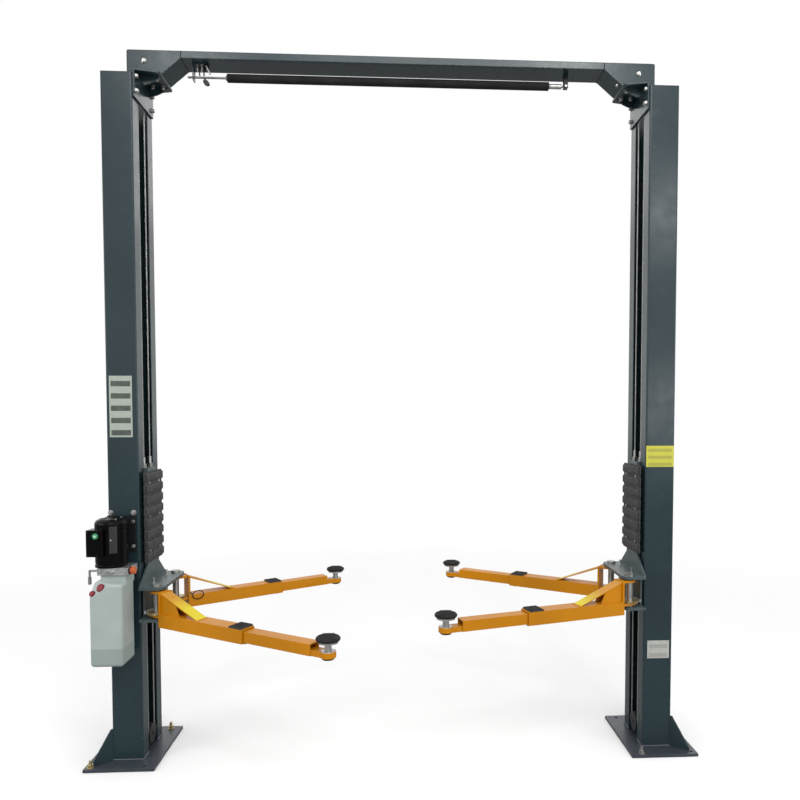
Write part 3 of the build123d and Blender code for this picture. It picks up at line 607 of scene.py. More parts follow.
def solid(name, build, finish, bevel=0.0, segments=2, smooth=False):
    """Piece whose shape the given function writes into a bmesh, with its normals out."""
    mesh = bpy.data.meshes.new(name)
    bm = bmesh.new()
    build(bm)
    bmesh.ops.remove_doubles(bm, verts=bm.verts, dist=1e-6)
    bmesh.ops.recalc_face_normals(bm, faces=bm.faces)
    if bevel:
        edges = [e for e in bm.edges if len(e.link_faces) == 2 and e.calc_face_angle(0) > radians(35)]
        bmesh.ops.bevel(bm, geom=edges, offset=bevel, segments=segments, affect="EDGES", profile=0.5,
                        clamp_overlap=True)
        bmesh.ops.recalc_face_normals(bm, faces=bm.faces)
    bm.to_mesh(mesh)
    bm.free()
    mesh.materials.append(finish)
    if smooth:
        for polygon in mesh.polygons:
            polygon.use_smooth = True
    piece = bpy.data.objects.new(name, mesh)
    bpy.context.scene.collection.objects.link(piece)
    return piece


def add_block(bm, low, high):
    """Box between two corners."""
    made = bmesh.ops.create_cube(bm, size=1.0)["verts"]
    low, high = Vector(low), Vector(high)
    for v in made:
        v.co = Vector(low[i] if v.co[i] < 0 else high[i] for i in range(3))


def add_turned(bm, profile, centre, axis=UP, sides=32, closed=False):
    """Turned shape from (radius, height) pairs round an axis through the centre.

    Its two ends are capped, unless it is closed on itself, as a ring is.
    """
    axis = Vector(axis).normalized()
    turn = UP.rotation_difference(axis).to_matrix()
    rings = []
    for radius, height in profile:
        if radius < 1e-7:
            rings.append([bm.verts.new(Vector(centre) + turn @ Vector((0, 0, height)))])
        else:
            rings.append([bm.verts.new(Vector(centre) + turn @ Vector((radius * c, radius * s, height)))
                          for c, s in around(sides)])
    for a, b in zip(rings, rings[1:] + rings[:1] if closed else rings[1:]):
        for i in range(sides):
            j = (i + 1) % sides
            if len(a) == 1 and len(b) > 1:
                bm.faces.new((a[0], b[i], b[j]))
            elif len(b) == 1 and len(a) > 1:
                bm.faces.new((a[i], a[j], b[0]))
            elif len(a) > 1:
                bm.faces.new((a[i], a[j], b[j], b[i]))
    for ring in () if closed else (rings[0], rings[-1]):
        if len(ring) > 1:
            bm.faces.new(ring)


def add_plate(bm, outline, normal, thickness):
    """Flat plate from an outline in space, grown along a normal."""
    near = [bm.verts.new(Vector(p)) for p in outline]
    far = [bm.verts.new(v.co + Vector(normal) * thickness) for v in near]
    bm.faces.new(near)
    bm.faces.new(list(reversed(far)))
    for i in range(len(near)):
        j = (i + 1) % len(near)
        bm.faces.new((near[i], near[j], far[j], far[i]))


def dress(piece, body):
    """The piece rides on a body of the frame."""
    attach(piece, body)
    return piece


def grown(name, kind, sizes, finish, body, points, edges=(), axes=None):
    """Piece from one of the trees, dressed in its finish and body."""
    return dress(grow(name, grower(kind), sizes, finishes[finish], points, edges, axes), body)


def shaped(name, build, finish, body, slot, **how):
    """Piece that a function shapes, dressed in its finish and body; its slot is not used."""
    return dress(solid(name, build, finishes[finish], **how), body)


def paint(node, finish):
    """Puts a finish on a frame node, on all of its slots."""
    data = nodes[node].data
    data.materials.clear()
    data.materials.append(finish)


# Frame parts by the finish that they take, where it isn't the columns' enamel
FRAME_FINISHES = {
    "carriage": ("carriage",),
    "arm": ("outer_arm", "inner_arm"),
    "foot": ("base_plate",),
    "dark": ("sheave_stands", "unit_bracket", "bar_hanger"),
    "motor": ("motor", "junction_box"),
    "steel": ("arm_pins", "pad_screw", "lift_rods", "beam_sheaves"),
    "dull": ("beam_axles", "limit_bar_rod", "release_lever"),
    "worn": ("base_sheaves",),
    "alloy": ("pump_block",),
    "tank": ("oil_tank",),
    "red": ("tank_caps",),
    "orange": ("port_plug",),
    "nylon": ("slide_blocks",),
    "foam": ("limit_bar_foam",),
    "rubber": ("door_guard", "rest_pad"),
    "pad": ("pad_rubber",),
    "cable": ("sync_cable",),
}


def finish_for(node):
    """Which finish a frame part takes, from the start of its name."""
    for finish, starts in FRAME_FINISHES.items():
        if node.startswith(starts):
            return finish
    return "column"


# Operators


class LIFT_OT_finish_frame(bpy.types.Operator):
    """Gives every part of the frame its enamel, steel, rubber or plastic"""

    bl_idname = "lift.finish_frame"
    bl_label = "Finish the frame parts"

    def execute(self, context):
        colours = context.scene.lift_paint
        radius = colours.edge_radius
        finishes.update({
            # The wider edge radius makes the column's lighter rubbed edges partly a painted highlight along
            # its folded corners
            "column": enamel("slate enamel", colours.column_colour, 0.24, radius * 2.4, gloss=0.36,
                             coat=0.05),
            "carriage": enamel("grey carriage enamel", colours.carriage_colour, 0.36, radius),
            # The arm enamel carries the painted strap highlight
            "arm": enamel("orange yellow enamel", colours.arm_colour, 0.34, radius, (0.86, 0.60, 0.22, 1),
                          wear=0.5, gloss=0.24, coat=0.0, slanted_highlight=colours.strap_highlight_colour),
            "dark": enamel("black bracket paint", (0.008, 0.009, 0.010, 1), 0.42, radius, gloss=0.22,
                           coat=0.0),
            "motor": enamel("black motor paint", (0.0012, 0.0013, 0.0014, 1), 0.20, radius,
                            (0.05, 0.05, 0.05, 1), wear=0.3, streak=0.02, gloss=0.12, coat=0.0),
            "foot": enamel("scuffed base enamel", (0.036, 0.044, 0.056, 1), 0.34, radius, wear=0.6,
                           streak=0.35),
            "bead": enamel("painted weld", (0.085, 0.096, 0.115, 1), 0.36, radius, wear=0.5, streak=0.2),
            # Grey that paints the vertical reflection band on the black motor
            "reflection_band": enamel("grey motor plate", (0.028, 0.028, 0.030, 1), 0.30, radius,
                            (0.20, 0.20, 0.20, 1), wear=0.4, gloss=0.35, coat=0.0),
            "steel": bright_steel("bright zinc steel", (0.50, 0.50, 0.485, 1), 0.28),
            "gold": bright_steel("yellow zinc steel", (0.62, 0.52, 0.30, 1), 0.30),
            "worn": bright_steel("dark oiled steel", (0.075, 0.075, 0.078, 1), 0.30),
            "dull": bright_steel("dull zinc steel", (0.30, 0.30, 0.29, 1), 0.42),
            "alloy": cast_alloy("pump alloy"),
            "tank": tank_plastic("milky tank plastic", OIL_LEVEL),
            "red": moulded_plastic("red cap plastic", (0.20, 0.003, 0.012, 1), 0.32),
            "orange": moulded_plastic("orange plug plastic", (0.55, 0.115, 0.022, 1), 0.38),
            "green": moulded_plastic("green button plastic", (0.02, 0.22, 0.09, 1), 0.25),
            # Pale tint that paints the highlight on the green start button
            "white": moulded_plastic("pale button plastic", (0.40, 0.62, 0.50, 1), 0.28),
            "nylon": moulded_plastic("slide block nylon", (0.60, 0.58, 0.50, 1), 0.42),
            "foam": cell_foam("foam sleeve"),
            "rubber": moulded_rubber("moulded rubber"),
            "pad": moulded_rubber("pad rubber", (0.008, 0.008, 0.009, 1), 0.60, dust=0.10, gloss=0.25),
            "cable": stranded_cable("steel rope"),
        })
        for name in nodes:
            paint(name, finishes[finish_for(name)])
        return {"FINISHED"}


class LIFT_OT_frame_bolts(bpy.types.Operator):
    """Bolts of the beam brackets, and the anchor studs with their nuts on the base plates"""

    bl_idname = "lift.frame_bolts"
    bl_label = "Frame bolts"

    def execute(self, context):
        sizes = context.scene.lift_fasteners
        for side_name, side in SIDES.items():
            self.bracket_bolts(sizes, side_name, side)
        anchors = {"left": [("outer", "front"), ("inner", "rear")], "right": [("inner", "front")]}
        for side_name, places in anchors.items():
            self.anchor_nuts(sizes, side_name, places)
        return {"FINISHED"}

    def bracket_bolts(self, sizes, side_name, side):
        """Four bolts under the bracket's shelf and four on its face towards the bay."""
        low, high = low_high("beam_brackets")
        lip = abs(low.x)
        shelf_low = high.z - 0.010
        points, axes = [], []
        for x in (lip - 0.097, lip - 0.040):
            for y in (-0.052, 0.052):
                points.append((side * x, y, shelf_low))
                axes.append((0, 0, -1))
        for y in (-0.130, 0.130):
            for drop in (0.035, 0.112):
                points.append((side * (lip - 0.010), y, high.z - drop))
                axes.append((-side, 0, 0))
        head = {"Flats": sizes.bolt_flats, "Head": sizes.bolt_head, "Washer": 1.35 * sizes.bolt_flats}
        grown(f"bracket_bolts_{side_name}", "bolt", head, "steel", "root", points, axes=axes)

    def anchor_nuts(self, sizes, side_name, places):
        """Studs with nuts in some of a base plate's holes, yellowish on the left."""
        plate_low, plate_high = low_high(f"base_plate_{side_name}")
        inner, outer = sorted((plate_low.x, plate_high.x), key=abs)
        side = SIDES[side_name]
        points = []
        for across, end_name in places:
            x = inner + side * 0.062 if across == "inner" else outer - side * 0.030
            points.append((x, ENDS[end_name] * (plate_high.y - 0.030), plate_high.z))
        nut = {"Flats": sizes.anchor_flats, "Head": 0.013, "Washer": 0.038, "Stud": sizes.anchor_rise}
        grown(f"anchor_nuts_{side_name}", "nut", nut, "gold" if side_name == "left" else "steel",
              "root", points, axes=[UP] * len(points))


class LIFT_OT_welds(bpy.types.Operator):
    """Weld beads round the feet of the columns"""

    bl_idname = "lift.welds"
    bl_label = "Weld beads"

    def execute(self, context):
        sizes = context.scene.lift_fasteners
        bead = {"Width": sizes.weld_width, "Ripple": sizes.weld_ripple}
        lip = 0.084
        for side_name in SIDES:
            low, high = low_high(f"column_{side_name}")
            foot = low.z + 0.003
            inner, outer = sorted((low.x, high.x), key=abs)
            points = [(inner, -high.y + lip, foot), (inner, -high.y, foot), (outer, -high.y, foot),
                      (outer, high.y, foot), (inner, high.y, foot), (inner, high.y - lip, foot)]
            grown(f"foot_weld_{side_name}", "weld", bead, "bead", "root",
                  points, [(i, i + 1) for i in range(5)])
        return {"FINISHED"}


class LIFT_OT_pads(bpy.types.Operator):
    """Round lifting pads with a studded tread, and the thread on their screws"""

    bl_idname = "lift.pads"
    bl_label = "Lifting pads"

    tread_rise = 0.003

    def execute(self, context):
        sizes = context.scene.lift_guards
        for arm in ARMS:
            self.pad(sizes, arm)
            self.thread(sizes, arm)
        return {"FINISHED"}

    def pad(self, sizes, arm):
        """Turned cushion with rows of studs on top, every other row half a step along."""
        low, high = low_high(f"pad_rubber_{arm}")
        centre = Vector(((low.x + high.x) / 2, (low.y + high.y) / 2, low.z))
        radius, height = (high.x - low.x) / 2, high.z - low.z
        rise, pitch = self.tread_rise, sizes.tread_pitch

        def cushion(bm):
            r, h = radius, height - rise
            add_turned(bm, [(r - 0.014, 0), (r - 0.005, 0.002), (r - 0.001, 0.007), (r, 0.013),
                            (r - 0.002, h - 0.006), (r - 0.006, h - 0.002), (r - 0.012, h), (0, h)],
                       centre, sides=64)

        pad = shaped(f"pad_{arm}", cushion, "pad", f"pad_{arm}", "rubber", smooth=True)
        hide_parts(f"pad_rubber_{arm}")
        points = []
        steps = int(radius / pitch) + 1
        for i in range(-steps, steps + 1):
            for j in range(-steps, steps + 1):
                x = (i + 0.5 * (j % 2)) * pitch
                y = j * pitch * 0.87
                if x * x + y * y < (radius - 0.013) ** 2:
                    points.append((centre.x + x, centre.y + y, high.z - rise))
        grown(f"pad_tread_{arm}", "studs", {"Foot": pitch * 1.05, "Top": pitch * 0.5, "Rise": rise}, "pad",
              f"pad_{arm}", points, axes=[UP] * len(points))

    def thread(self, sizes, arm):
        """Thread on a pad screw, up to the plate under the pad."""
        plate, clear = 0.008, 0.001
        low, high = low_high(f"pad_screw_{arm}")
        pad = middle(f"pad_rubber_{arm}")
        top = high.z - plate - clear
        bottom = low.z + clear
        wire = {"Diameter": 0.0318, "Wire": 0.45 * sizes.thread_pitch, "Length": top - bottom,
                "Turns": (top - bottom) / sizes.thread_pitch}
        grown(f"screw_thread_{arm}", "thread", wire, "steel", f"pad_{arm}",
              [(pad.x, pad.y, bottom)])


class LIFT_OT_door_guards(bpy.types.Operator):
    """Ribbed rubber door guards on the carriages, with their screws and washers"""

    bl_idname = "lift.door_guards"
    bl_label = "Door guards"

    def execute(self, context):
        sizes = context.scene.lift_guards
        for side_name, side in SIDES.items():
            self.guard(sizes, side_name, side)
        return {"FINISHED"}

    def guard(self, sizes, side_name, side):
        """Sheet with a notch in its edges between each rib and the next, ribs and screws."""
        body = f"carriage_{side_name}"
        low, high = low_high(f"door_guard_{side_name}")
        back = max(abs(low.x), abs(high.x))
        face = min(abs(low.x), abs(high.x)) + sizes.rib_proud
        pitch = (high.z - low.z) / sizes.rib_count
        half, notch = high.y, 0.005
        notch_curve = ((0.0, 1.0), (0.06, 0.55), (0.14, 0.15), (0.22, 0.0), (0.78, 0.0), (0.86, 0.15),
                       (0.94, 0.55))

        def sheet(bm):
            edge = []
            for i in range(sizes.rib_count):
                foot = low.z + i * pitch
                for share, cut in notch_curve:
                    edge.append((half - notch * cut, foot + share * pitch))
            edge.append((half - notch, high.z))
            outline = edge + [(-y, z) for y, z in reversed(edge)]
            add_plate(bm, [(side * back, y, z) for y, z in outline], (-side, 0, 0), back - face)

        piece = shaped(f"guard_sheet_{side_name}", sheet, "rubber", body, "rubber")
        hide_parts(f"door_guard_{side_name}")
        points, edges = [], []
        for i in range(sizes.rib_count):
            level = low.z + (i + 0.5) * pitch
            points += [(side * face, -half + notch, level), (side * face, half - notch, level)]
            edges.append((2 * i, 2 * i + 1))
        rib = {"Tall": pitch - 0.019, "Proud": sizes.rib_proud - 0.0004, "Corner": 0.006}
        grown(f"guard_ribs_{side_name}", "ribs", rib, "rubber", body, points, edges)
        screws = [(side * face, y, low.z + step * pitch) for step in (1, 4, 7) for y in (-0.080, 0.080)]
        head = {"Flats": 0.012, "Head": 0.004, "Washer": 0.021, "Washer thickness": 0.0015, "Stud": 0.001}
        grown(f"guard_screws_{side_name}", "bolt", head, "steel", body, screws,
              axes=[(-side, 0, 0)] * len(screws))


class ArmLine:
    """The line of a swing arm: its pin, the boss under its pad, its directions and its tube's top."""

    def __init__(self, arm):
        end_name, side_name = arm.split("_")
        low, high = low_high(f"arm_pins_{side_name}")
        head = high.x - low.x
        self.pin = Vector(((low.x + high.x) / 2, ENDS[end_name] * (high.y - head / 2), 0))
        pad = middle(f"pad_rubber_{arm}")
        run = Vector((pad.x - self.pin.x, pad.y - self.pin.y, 0))
        self.along = run.normalized()
        self.across = UP.cross(self.along)
        self.boss = self.pin + self.along * run.length
        self.tube_top = low_high(f"rest_pad_{arm}")[0].z

    def at(self, run, offset, rise):
        """Point by its distance along the arm, across it and above the tube."""
        return self.pin + self.along * run + self.across * offset + UP * (self.tube_top + rise)


class LIFT_OT_arm_fittings(bpy.types.Operator):
    """Webs, welds, lock gears, tread and stop screws on the swing arms, and the rings on their bosses"""

    bl_idname = "lift.arm_fittings"
    bl_label = "Swing arm fittings"

    def execute(self, context):
        ripple = context.scene.lift_fasteners.weld_ripple
        for arm in ARMS:
            line = ArmLine(arm)
            self.welding(arm, line, ripple)
            self.lock_gear(arm, line)
            self.rest_tread(arm, line)
            self.boss_rings(arm, line)
            if arm == "rear_left":
                self.pull_ring(arm, line)
        return {"FINISHED"}

    def welding(self, arm, line, ripple):
        """Two webs under the strap of each front arm, and the weld beads of the strap and ears."""

        def webs(bm):
            for offset in (-0.033, 0.025):
                outline = [line.at(0.070, offset, -0.002), line.at(0.070, offset, 0.102),
                           line.at(0.178, offset, 0.060), line.at(0.206, offset, -0.002)]
                add_plate(bm, outline, line.across, 0.008)

        if arm.startswith("front"):
            shaped(f"arm_webs_{arm}", webs, "arm", f"arm_{arm}", "arm_paint", bevel=0.0015)
        beads = [((0.0735, -0.044), (0.0735, -0.034), 0.001), ((0.0735, 0.034), (0.0735, 0.044), 0.001),
                 ((0.342, -0.035), (0.342, 0.035), 0.001), ((0.062, -0.035), (0.062, 0.035), 0.1145)]
        seams = [line.at(run, offset, rise) for start, end, rise in beads for run, offset in (start, end)]
        grown(f"arm_welds_{arm}", "weld", {"Width": 0.007, "Ripple": ripple}, "arm", f"arm_{arm}",
              seams, [(2 * i, 2 * i + 1) for i in range(len(beads))])

    def lock_gear(self, arm, line):
        """Toothed ring round the arm's pin, which the lock on the carriage holds."""
        low, high = line.tube_top - 0.016, line.tube_top - 0.003
        radius, bore, tooth_count = 0.044, 0.021, 34

        def gear(bm):
            add_turned(bm, [(bore, low), (radius, low), (radius, high - 0.002), (radius - 0.002, high),
                            (bore, high)], line.pin, sides=48, closed=True)

        shaped(f"lock_gear_{arm}", gear, "gold", f"arm_{arm}", "steel")
        rim = [Vector((c, s, 0)) for c, s in around(tooth_count)]
        level = UP * ((low + high) / 2)
        tooth = {"Across": 0.0058, "Proud": 0.008, "Tall": high - low, "Taper": 0.45}
        grown(f"lock_teeth_{arm}", "teeth", tooth, "gold", f"arm_{arm}",
              [line.pin + level + way * (radius + 0.0015) for way in rim], axes=rim)

    def rest_tread(self, arm, line):
        """Studs on the rubber rest near the arm's end, and the stop screw below it."""
        low, high = low_high(f"rest_pad_{arm}")
        first_run, first_offset, step = 0.5755, -0.0396, 0.0099
        tread = [line.at(first_run + step * a, first_offset + step * b, high.z - low.z - 0.0002)
                 for a in range(8) for b in range(9)]
        grown(f"rest_tread_{arm}", "studs", {"Foot": 0.0118, "Top": 0.006, "Rise": 0.002}, "pad",
              f"arm_{arm}", tread, axes=[UP] * len(tread))
        stop = line.at(0.640, 0, low_high(f"outer_arm_{arm}")[0].z - line.tube_top)
        grown(f"stop_screw_{arm}", "bolt", {"Flats": 0.017, "Head": 0.008, "Washer": 0.022, "Stud": 0.002},
              "dull", f"arm_{arm}", [stop], axes=[(0, 0, -1)])

    def boss_rings(self, arm, line):
        """Ring nut under the inner arm's boss, and the machined face on top of it."""
        inner_low = low_high(f"inner_arm_{arm}")[0].z
        boss_top = inner_low + 0.028
        bore = 0.0176

        def ring_nut(bm):
            low, high = inner_low - 0.010, inner_low - 0.0002
            add_turned(bm, [(bore, low), (0.028, low), (0.030, inner_low - 0.008), (0.030, high),
                            (bore, high)], line.boss, sides=36, closed=True)

        def boss_face(bm):
            low, high = boss_top - 0.001, boss_top + 0.0015
            add_turned(bm, [(bore, low), (0.0365, low), (0.0345, high), (bore, high)], line.boss, sides=48,
                       closed=True)

        shaped(f"ring_nut_{arm}", ring_nut, "dark", f"extension_{arm}", "steel")
        shaped(f"boss_face_{arm}", boss_face, "steel", f"extension_{arm}", "steel")

    def pull_ring(self, arm, line):
        """Wire ring on a short link, at the side of the arm that faces the front."""
        near = 1 if line.across.y < 0 else -1
        steps = around(28)
        loop = [line.at(0.116 + 0.033 * c, near * 0.050, -0.004 + 0.025 * s) for c, s in steps]
        link = [line.at(0.068, near * 0.050, 0.016), line.at(0.078, near * 0.051, 0.008),
                line.at(0.086, near * 0.050, 0.003)]
        count = len(steps)
        edges = [(i, (i + 1) % count) for i in range(count)] + [(count, count + 1), (count + 1, count + 2)]
        grown(f"pull_ring_{arm}", "rod", {"Diameter": 0.0052, "Sides": 10}, "dark", f"arm_{arm}",
              loop + link, edges)


class LIFT_OT_carriage_fittings(bpy.types.Operator):
    """Arm locks with their rods and springs, and the threaded cable ends on the carriages"""

    bl_idname = "lift.carriage_fittings"
    bl_label = "Arm locks and cable ends"

    def execute(self, context):
        for side_name, side in SIDES.items():
            self.arm_locks(side_name, side)
            self.cable_ends(side_name, side)
        return {"FINISHED"}

    def arm_locks(self, side_name, side):
        """Toothed block, rod with a knob and coil spring, for each of the carriage's two arms."""
        body = f"carriage_{side_name}"
        low, high = low_high(f"arm_pins_{side_name}")
        shelf_top, shelf_low, shelf = high.z - 0.012, low.z + 0.010, 0.016
        gap_low, gap_top = shelf_low + shelf, shelf_top - shelf
        block_low, block_high = gap_low + 0.020, gap_low + 0.038
        rods = []
        for end_name, end in ENDS.items():
            pin = Vector(((low.x + high.x) / 2, end * (high.y - (high.x - low.x) / 2), 0))
            rod = pin + Vector((side * 0.036, -end * 0.062, 0))
            rods.append(rod)

            def lock(bm):
                ways = [Vector((side * cos(t), -end * sin(t), 0))
                        for t in (radians(-6 + 84 * i / 20) for i in range(21))]
                outer = [pin + way * 0.0675 for way in ways]
                teeth = [pin + way * (0.0530 if i % 2 else 0.0555) for i, way in enumerate(ways)]
                outline = [p + UP * block_low for p in outer + list(reversed(teeth))]
                add_plate(bm, outline, UP, block_high - block_low)
                add_turned(bm, [(0, gap_low), (0.012, gap_low), (0.012, block_high),
                                (0.009, block_high + 0.004), (0.009, gap_top), (0, gap_top)], rod, sides=24)
                knob = [(0, -0.001), (0.011, -0.001), (0.011, 0.003), (0.0055, 0.005), (0.0055, 0.024),
                        (0.0085, 0.025), (0.0085, 0.031), (0, 0.031)]
                add_turned(bm, [(radius, shelf_top + rise) for radius, rise in knob], rod, sides=20)

            shaped(f"arm_lock_{end_name}_{side_name}", lock, "steel", body, "steel")
        spring = {"Diameter": 0.021, "Wire": 0.0026, "Length": gap_top - block_high - 0.006, "Turns": 11.0}
        grown(f"lock_springs_{side_name}", "coil", spring, "steel", body,
              [rod + UP * (block_high + 0.003) for rod in rods])

    def cable_ends(self, side_name, side):
        """Two threaded ends of the equalising cable, each with three nuts."""
        carriage_top = low_high(f"carriage_{side_name}")[1].z
        cable_x = side * (low_high("sync_cable")[1].x - 0.0045)
        reach_down, reach_up = carriage_top - 0.050, carriage_top + 0.060

        def cable_ends(bm):
            for y in (-0.050, 0.050):
                centre = Vector((cable_x, y, 0))
                add_turned(bm, [(0.0062, reach_down), (0.0095, reach_down), (0.0095, reach_up),
                                (0.0062, reach_up)], centre, sides=24, closed=True)
                for foot, height in ((0.0, 0.012), (0.013, 0.010), (-0.024, 0.012)):
                    base = carriage_top + foot
                    add_turned(bm, [(0.0070, base), (0.0165, base), (0.0165, base + height),
                                    (0.0070, base + height)], centre, sides=6, closed=True)

        shaped(f"cable_ends_{side_name}", cable_ends, "steel", f"carriage_{side_name}", "steel",
               bevel=0.0006)


class LIFT_OT_power_unit(bpy.types.Operator):
    """Motor with its screws and a grey plate that paints its reflection band, bracket bolts, switch box,
    pump screws and the ribbed caps
    """

    bl_idname = "lift.power_unit"
    bl_label = "Power unit"

    def execute(self, context):
        self.motor()
        self.bracket_bolts()
        self.junction_box()
        self.pump_front()
        self.port_plug()
        self.tank_caps()
        return {"FINISHED"}

    def motor(self):
        """Shell with two seam grooves and a rounded top, a grey plate that paints its reflection band, its
        vents and its through screws.
        """
        low, high = low_high("motor")
        centre = Vector(((low.x + high.x) / 2, (low.y + high.y) / 2, 0))
        radius, base, top = (high.x - low.x) / 2, low.z, high.z

        def shell(bm):
            add_turned(bm, [(0, base), (radius, base), (radius, base + 0.012),
                            (radius - 0.004, base + 0.015), (radius - 0.004, base + 0.018),
                            (radius - 0.001, base + 0.021),
                            (radius - 0.001, top - 0.064), (radius - 0.004, top - 0.061),
                            (radius - 0.004, top - 0.058), (radius, top - 0.055), (radius, top - 0.024),
                            (radius - 0.003, top - 0.015), (radius - 0.009, top - 0.008),
                            (radius - 0.018, top - 0.003), (radius - 0.030, top),
                            (radius - 0.040, top - 0.002), (0, top - 0.002)], centre, sides=96)

        piece = shaped("motor_shell", shell, "motor", "root", "motor_black")
        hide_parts("motor")
        self.motor_reflection_plate(centre, radius, base + 0.078, top - 0.034)
        ways = [Vector((c, s, 0)) for c, s in around(26)]
        vent = {"Across": 0.005, "Proud": 0.026, "Tall": 0.003, "Taper": 0.8}
        grown("motor_vents", "teeth", vent, "motor", "root",
              [centre + way * (radius - 0.034) + UP * (top - 0.0015) for way in ways], axes=ways)
        circle = 0.056
        through = [centre + Vector((circle * cos(radians(a)), circle * sin(radians(a)), top - 0.004))
                   for a in (45, 135, 225, 315)]
        head = {"Flats": 0.010, "Head": 0.005, "Washer": 0.013, "Washer thickness": 0.001, "Stud": 0.001}
        grown("motor_screws", "bolt", head, "steel", "root", through, axes=[UP] * 4)

    def motor_reflection_plate(self, centre, radius, low, high):
        """Narrow curved grey plate on the front of the motor's shell, which paints the shell's vertical
        reflection band, and its screw.
        """
        turned, half_width, steps = radians(27.6), radians(14), 14
        sunk, proud = -0.004, 0.0012

        def plate(bm):
            rows = []
            for i in range(steps + 1):
                angle = turned - half_width + 2 * half_width * i / steps
                way = Vector((sin(angle), -cos(angle), 0))
                rows.append([bm.verts.new(centre + way * (radius + out) + UP * z)
                             for out, z in ((sunk, low), (proud, low), (proud, high), (sunk, high))])
            for near, far in zip(rows, rows[1:]):
                for j in range(4):
                    bm.faces.new((near[j], far[j], far[(j + 1) % 4], near[(j + 1) % 4]))
            bm.faces.new(rows[0])
            bm.faces.new(rows[-1])

        shaped("motor_reflection_plate", plate, "reflection_band", "root", "dark_steel", bevel=0.0006)
        screw_turned = turned - half_width * 0.6
        way = Vector((sin(screw_turned), -cos(screw_turned), 0))
        head = {"Flats": 0.007, "Head": 0.003, "Washer": 0.009, "Washer thickness": 0.001, "Stud": 0.0005}
        grown("motor_plate_screw", "bolt", head, "steel", "root",
              [centre + way * (radius + proud) + UP * (low + high) / 2], axes=[way])

    def bracket_bolts(self):
        """Four bolts through the unit's plate, and two studs with nuts above it, in the column's front."""
        low, high = low_high("unit_bracket")
        front, plate = low_high("column_left")[0].y, 0.008
        bolts = [(x, front - plate, z) for x in (low.x + 0.013, high.x - 0.013)
                 for z in (high.z - 0.034, high.z - 0.168)]
        grown("bracket_plate_bolts", "bolt", {"Flats": 0.017, "Head": 0.008, "Washer": 0.022}, "steel",
              "root", bolts, axes=[FORWARD] * 4)
        studs = [(x, front, high.z + 0.014) for x in (low.x + 0.017, high.x - 0.012)]
        nut = {"Flats": 0.019, "Head": 0.010, "Washer": 0.030, "Stud": 0.008}
        grown("bracket_top_studs", "nut", nut, "steel", "root", studs, axes=[FORWARD] * 2)

    def junction_box(self):
        """Lid of the switch box, its screws and the round button in its green ring, whose pale tint is a
        painted highlight.
        """
        low, high = low_high("junction_box")
        lid_front = low.y - 0.004

        def lid(bm):
            add_block(bm, (low.x - 0.0015, lid_front, low.z - 0.0015),
                      (high.x - 0.020, low.y + 0.014, high.z + 0.0015))

        shaped("box_lid", lid, "motor", "root", "motor_black", bevel=0.004, segments=3)
        corners = [Vector((x, lid_front, z)) for x in (low.x + 0.008, high.x - 0.030)
                   for z in (low.z + 0.009, high.z - 0.009)]
        head = {"Flats": 0.006, "Head": 0.002, "Washer": 0.008, "Washer thickness": 0.001, "Stud": 0.0005}
        grown("box_screws", "bolt", head, "dark", "root", corners, axes=[FORWARD] * 4)
        button_at = Vector((low.x + 0.047, lid_front, high.z - 0.030))

        def bezel(bm):
            add_turned(bm, [(0.0070, 0), (0.0155, 0), (0.0155, 0.003), (0.0130, 0.005), (0.0070, 0.005)],
                       button_at, FORWARD, sides=32, closed=True)

        def button(bm):
            add_turned(bm, [(0, 0), (0.0072, 0), (0.0072, 0.007), (0.0062, 0.0082), (0, 0.0085)],
                       button_at, FORWARD, sides=32)

        shaped("button_bezel", bezel, "green", "root", "motor_black")
        # The start button's pale finish is a painted highlight
        shaped("start_button", button, "white", "root", "motor_black")

    def pump_front(self):
        """Four screws across the pump block's front, and the hexagon of its relief valve."""
        low, high = low_high("pump_block")
        level = (low.z + high.z) / 2
        screws = [Vector((x, low.y, level))
                  for x in (low.x + 0.014, low.x + 0.054, high.x - 0.054, high.x - 0.014)]
        head = {"Flats": 0.013, "Head": 0.006, "Washer": 0.016, "Stud": 0.0015}
        grown("pump_screws", "bolt", head, "steel", "root", screws, axes=[FORWARD] * len(screws))

        def valve(bm):
            add_turned(bm, [(0, -0.002), (0.0125, -0.002), (0.0125, 0.004), (0.0095, 0.006),
                            (0.0095, 0.016), (0.0070, 0.018), (0, 0.018)],
                       Vector(((low.x + high.x) / 2, low.y, level)), FORWARD, sides=6)

        shaped("relief_valve", valve, "steel", "root", "steel", bevel=0.0008)

    def port_plug(self):
        """Ring behind the round plug in the pump's side, and the grips round the plug."""
        low, high = low_high("port_plug")
        place = Vector((low.x, (low.y + high.y) / 2, (low.z + high.z) / 2))
        radius = (high.z - low.z) / 2

        def ring(bm):
            inner, outer = radius - 0.004, radius + 0.003
            add_turned(bm, [(inner, -0.001), (outer, -0.001), (outer, 0.005), (inner, 0.005)], place,
                       (1, 0, 0), sides=40, closed=True)

        shaped("plug_ring", ring, "dark", "root", "dark_steel")
        ways = [Vector((0, c, s)) for c, s in around(20)]
        grown("plug_grips", "teeth", {"Across": 0.0030, "Proud": 0.0024, "Tall": 0.016, "Taper": 0.5},
              "orange", "root",
              [place + way * radius + Vector((0.015, 0, 0)) for way in ways], axes=ways)

    def tank_caps(self):
        """Two round screw caps that face the front from the tank's sloping shoulder."""
        low, high = low_high("tank_caps")
        facing = Vector((-0.36, -0.78, 0.52)).normalized()
        places = ((Vector((high.x - 0.022, (low.y + high.y) / 2 + 0.004, high.z - 0.022)), 0.0205),
                  (Vector((low.x + 0.016, low.y + 0.020, low.z + 0.016)), 0.0145))

        def caps(bm):
            for centre, radius in places:
                add_turned(bm, [(0, -0.014), (radius, -0.014), (radius, 0.0), (radius, 0.006),
                                (radius - 0.002, 0.009), (radius - 0.005, 0.010),
                                (radius - 0.0065, 0.0085), (0, 0.0085)], centre, facing, sides=48)

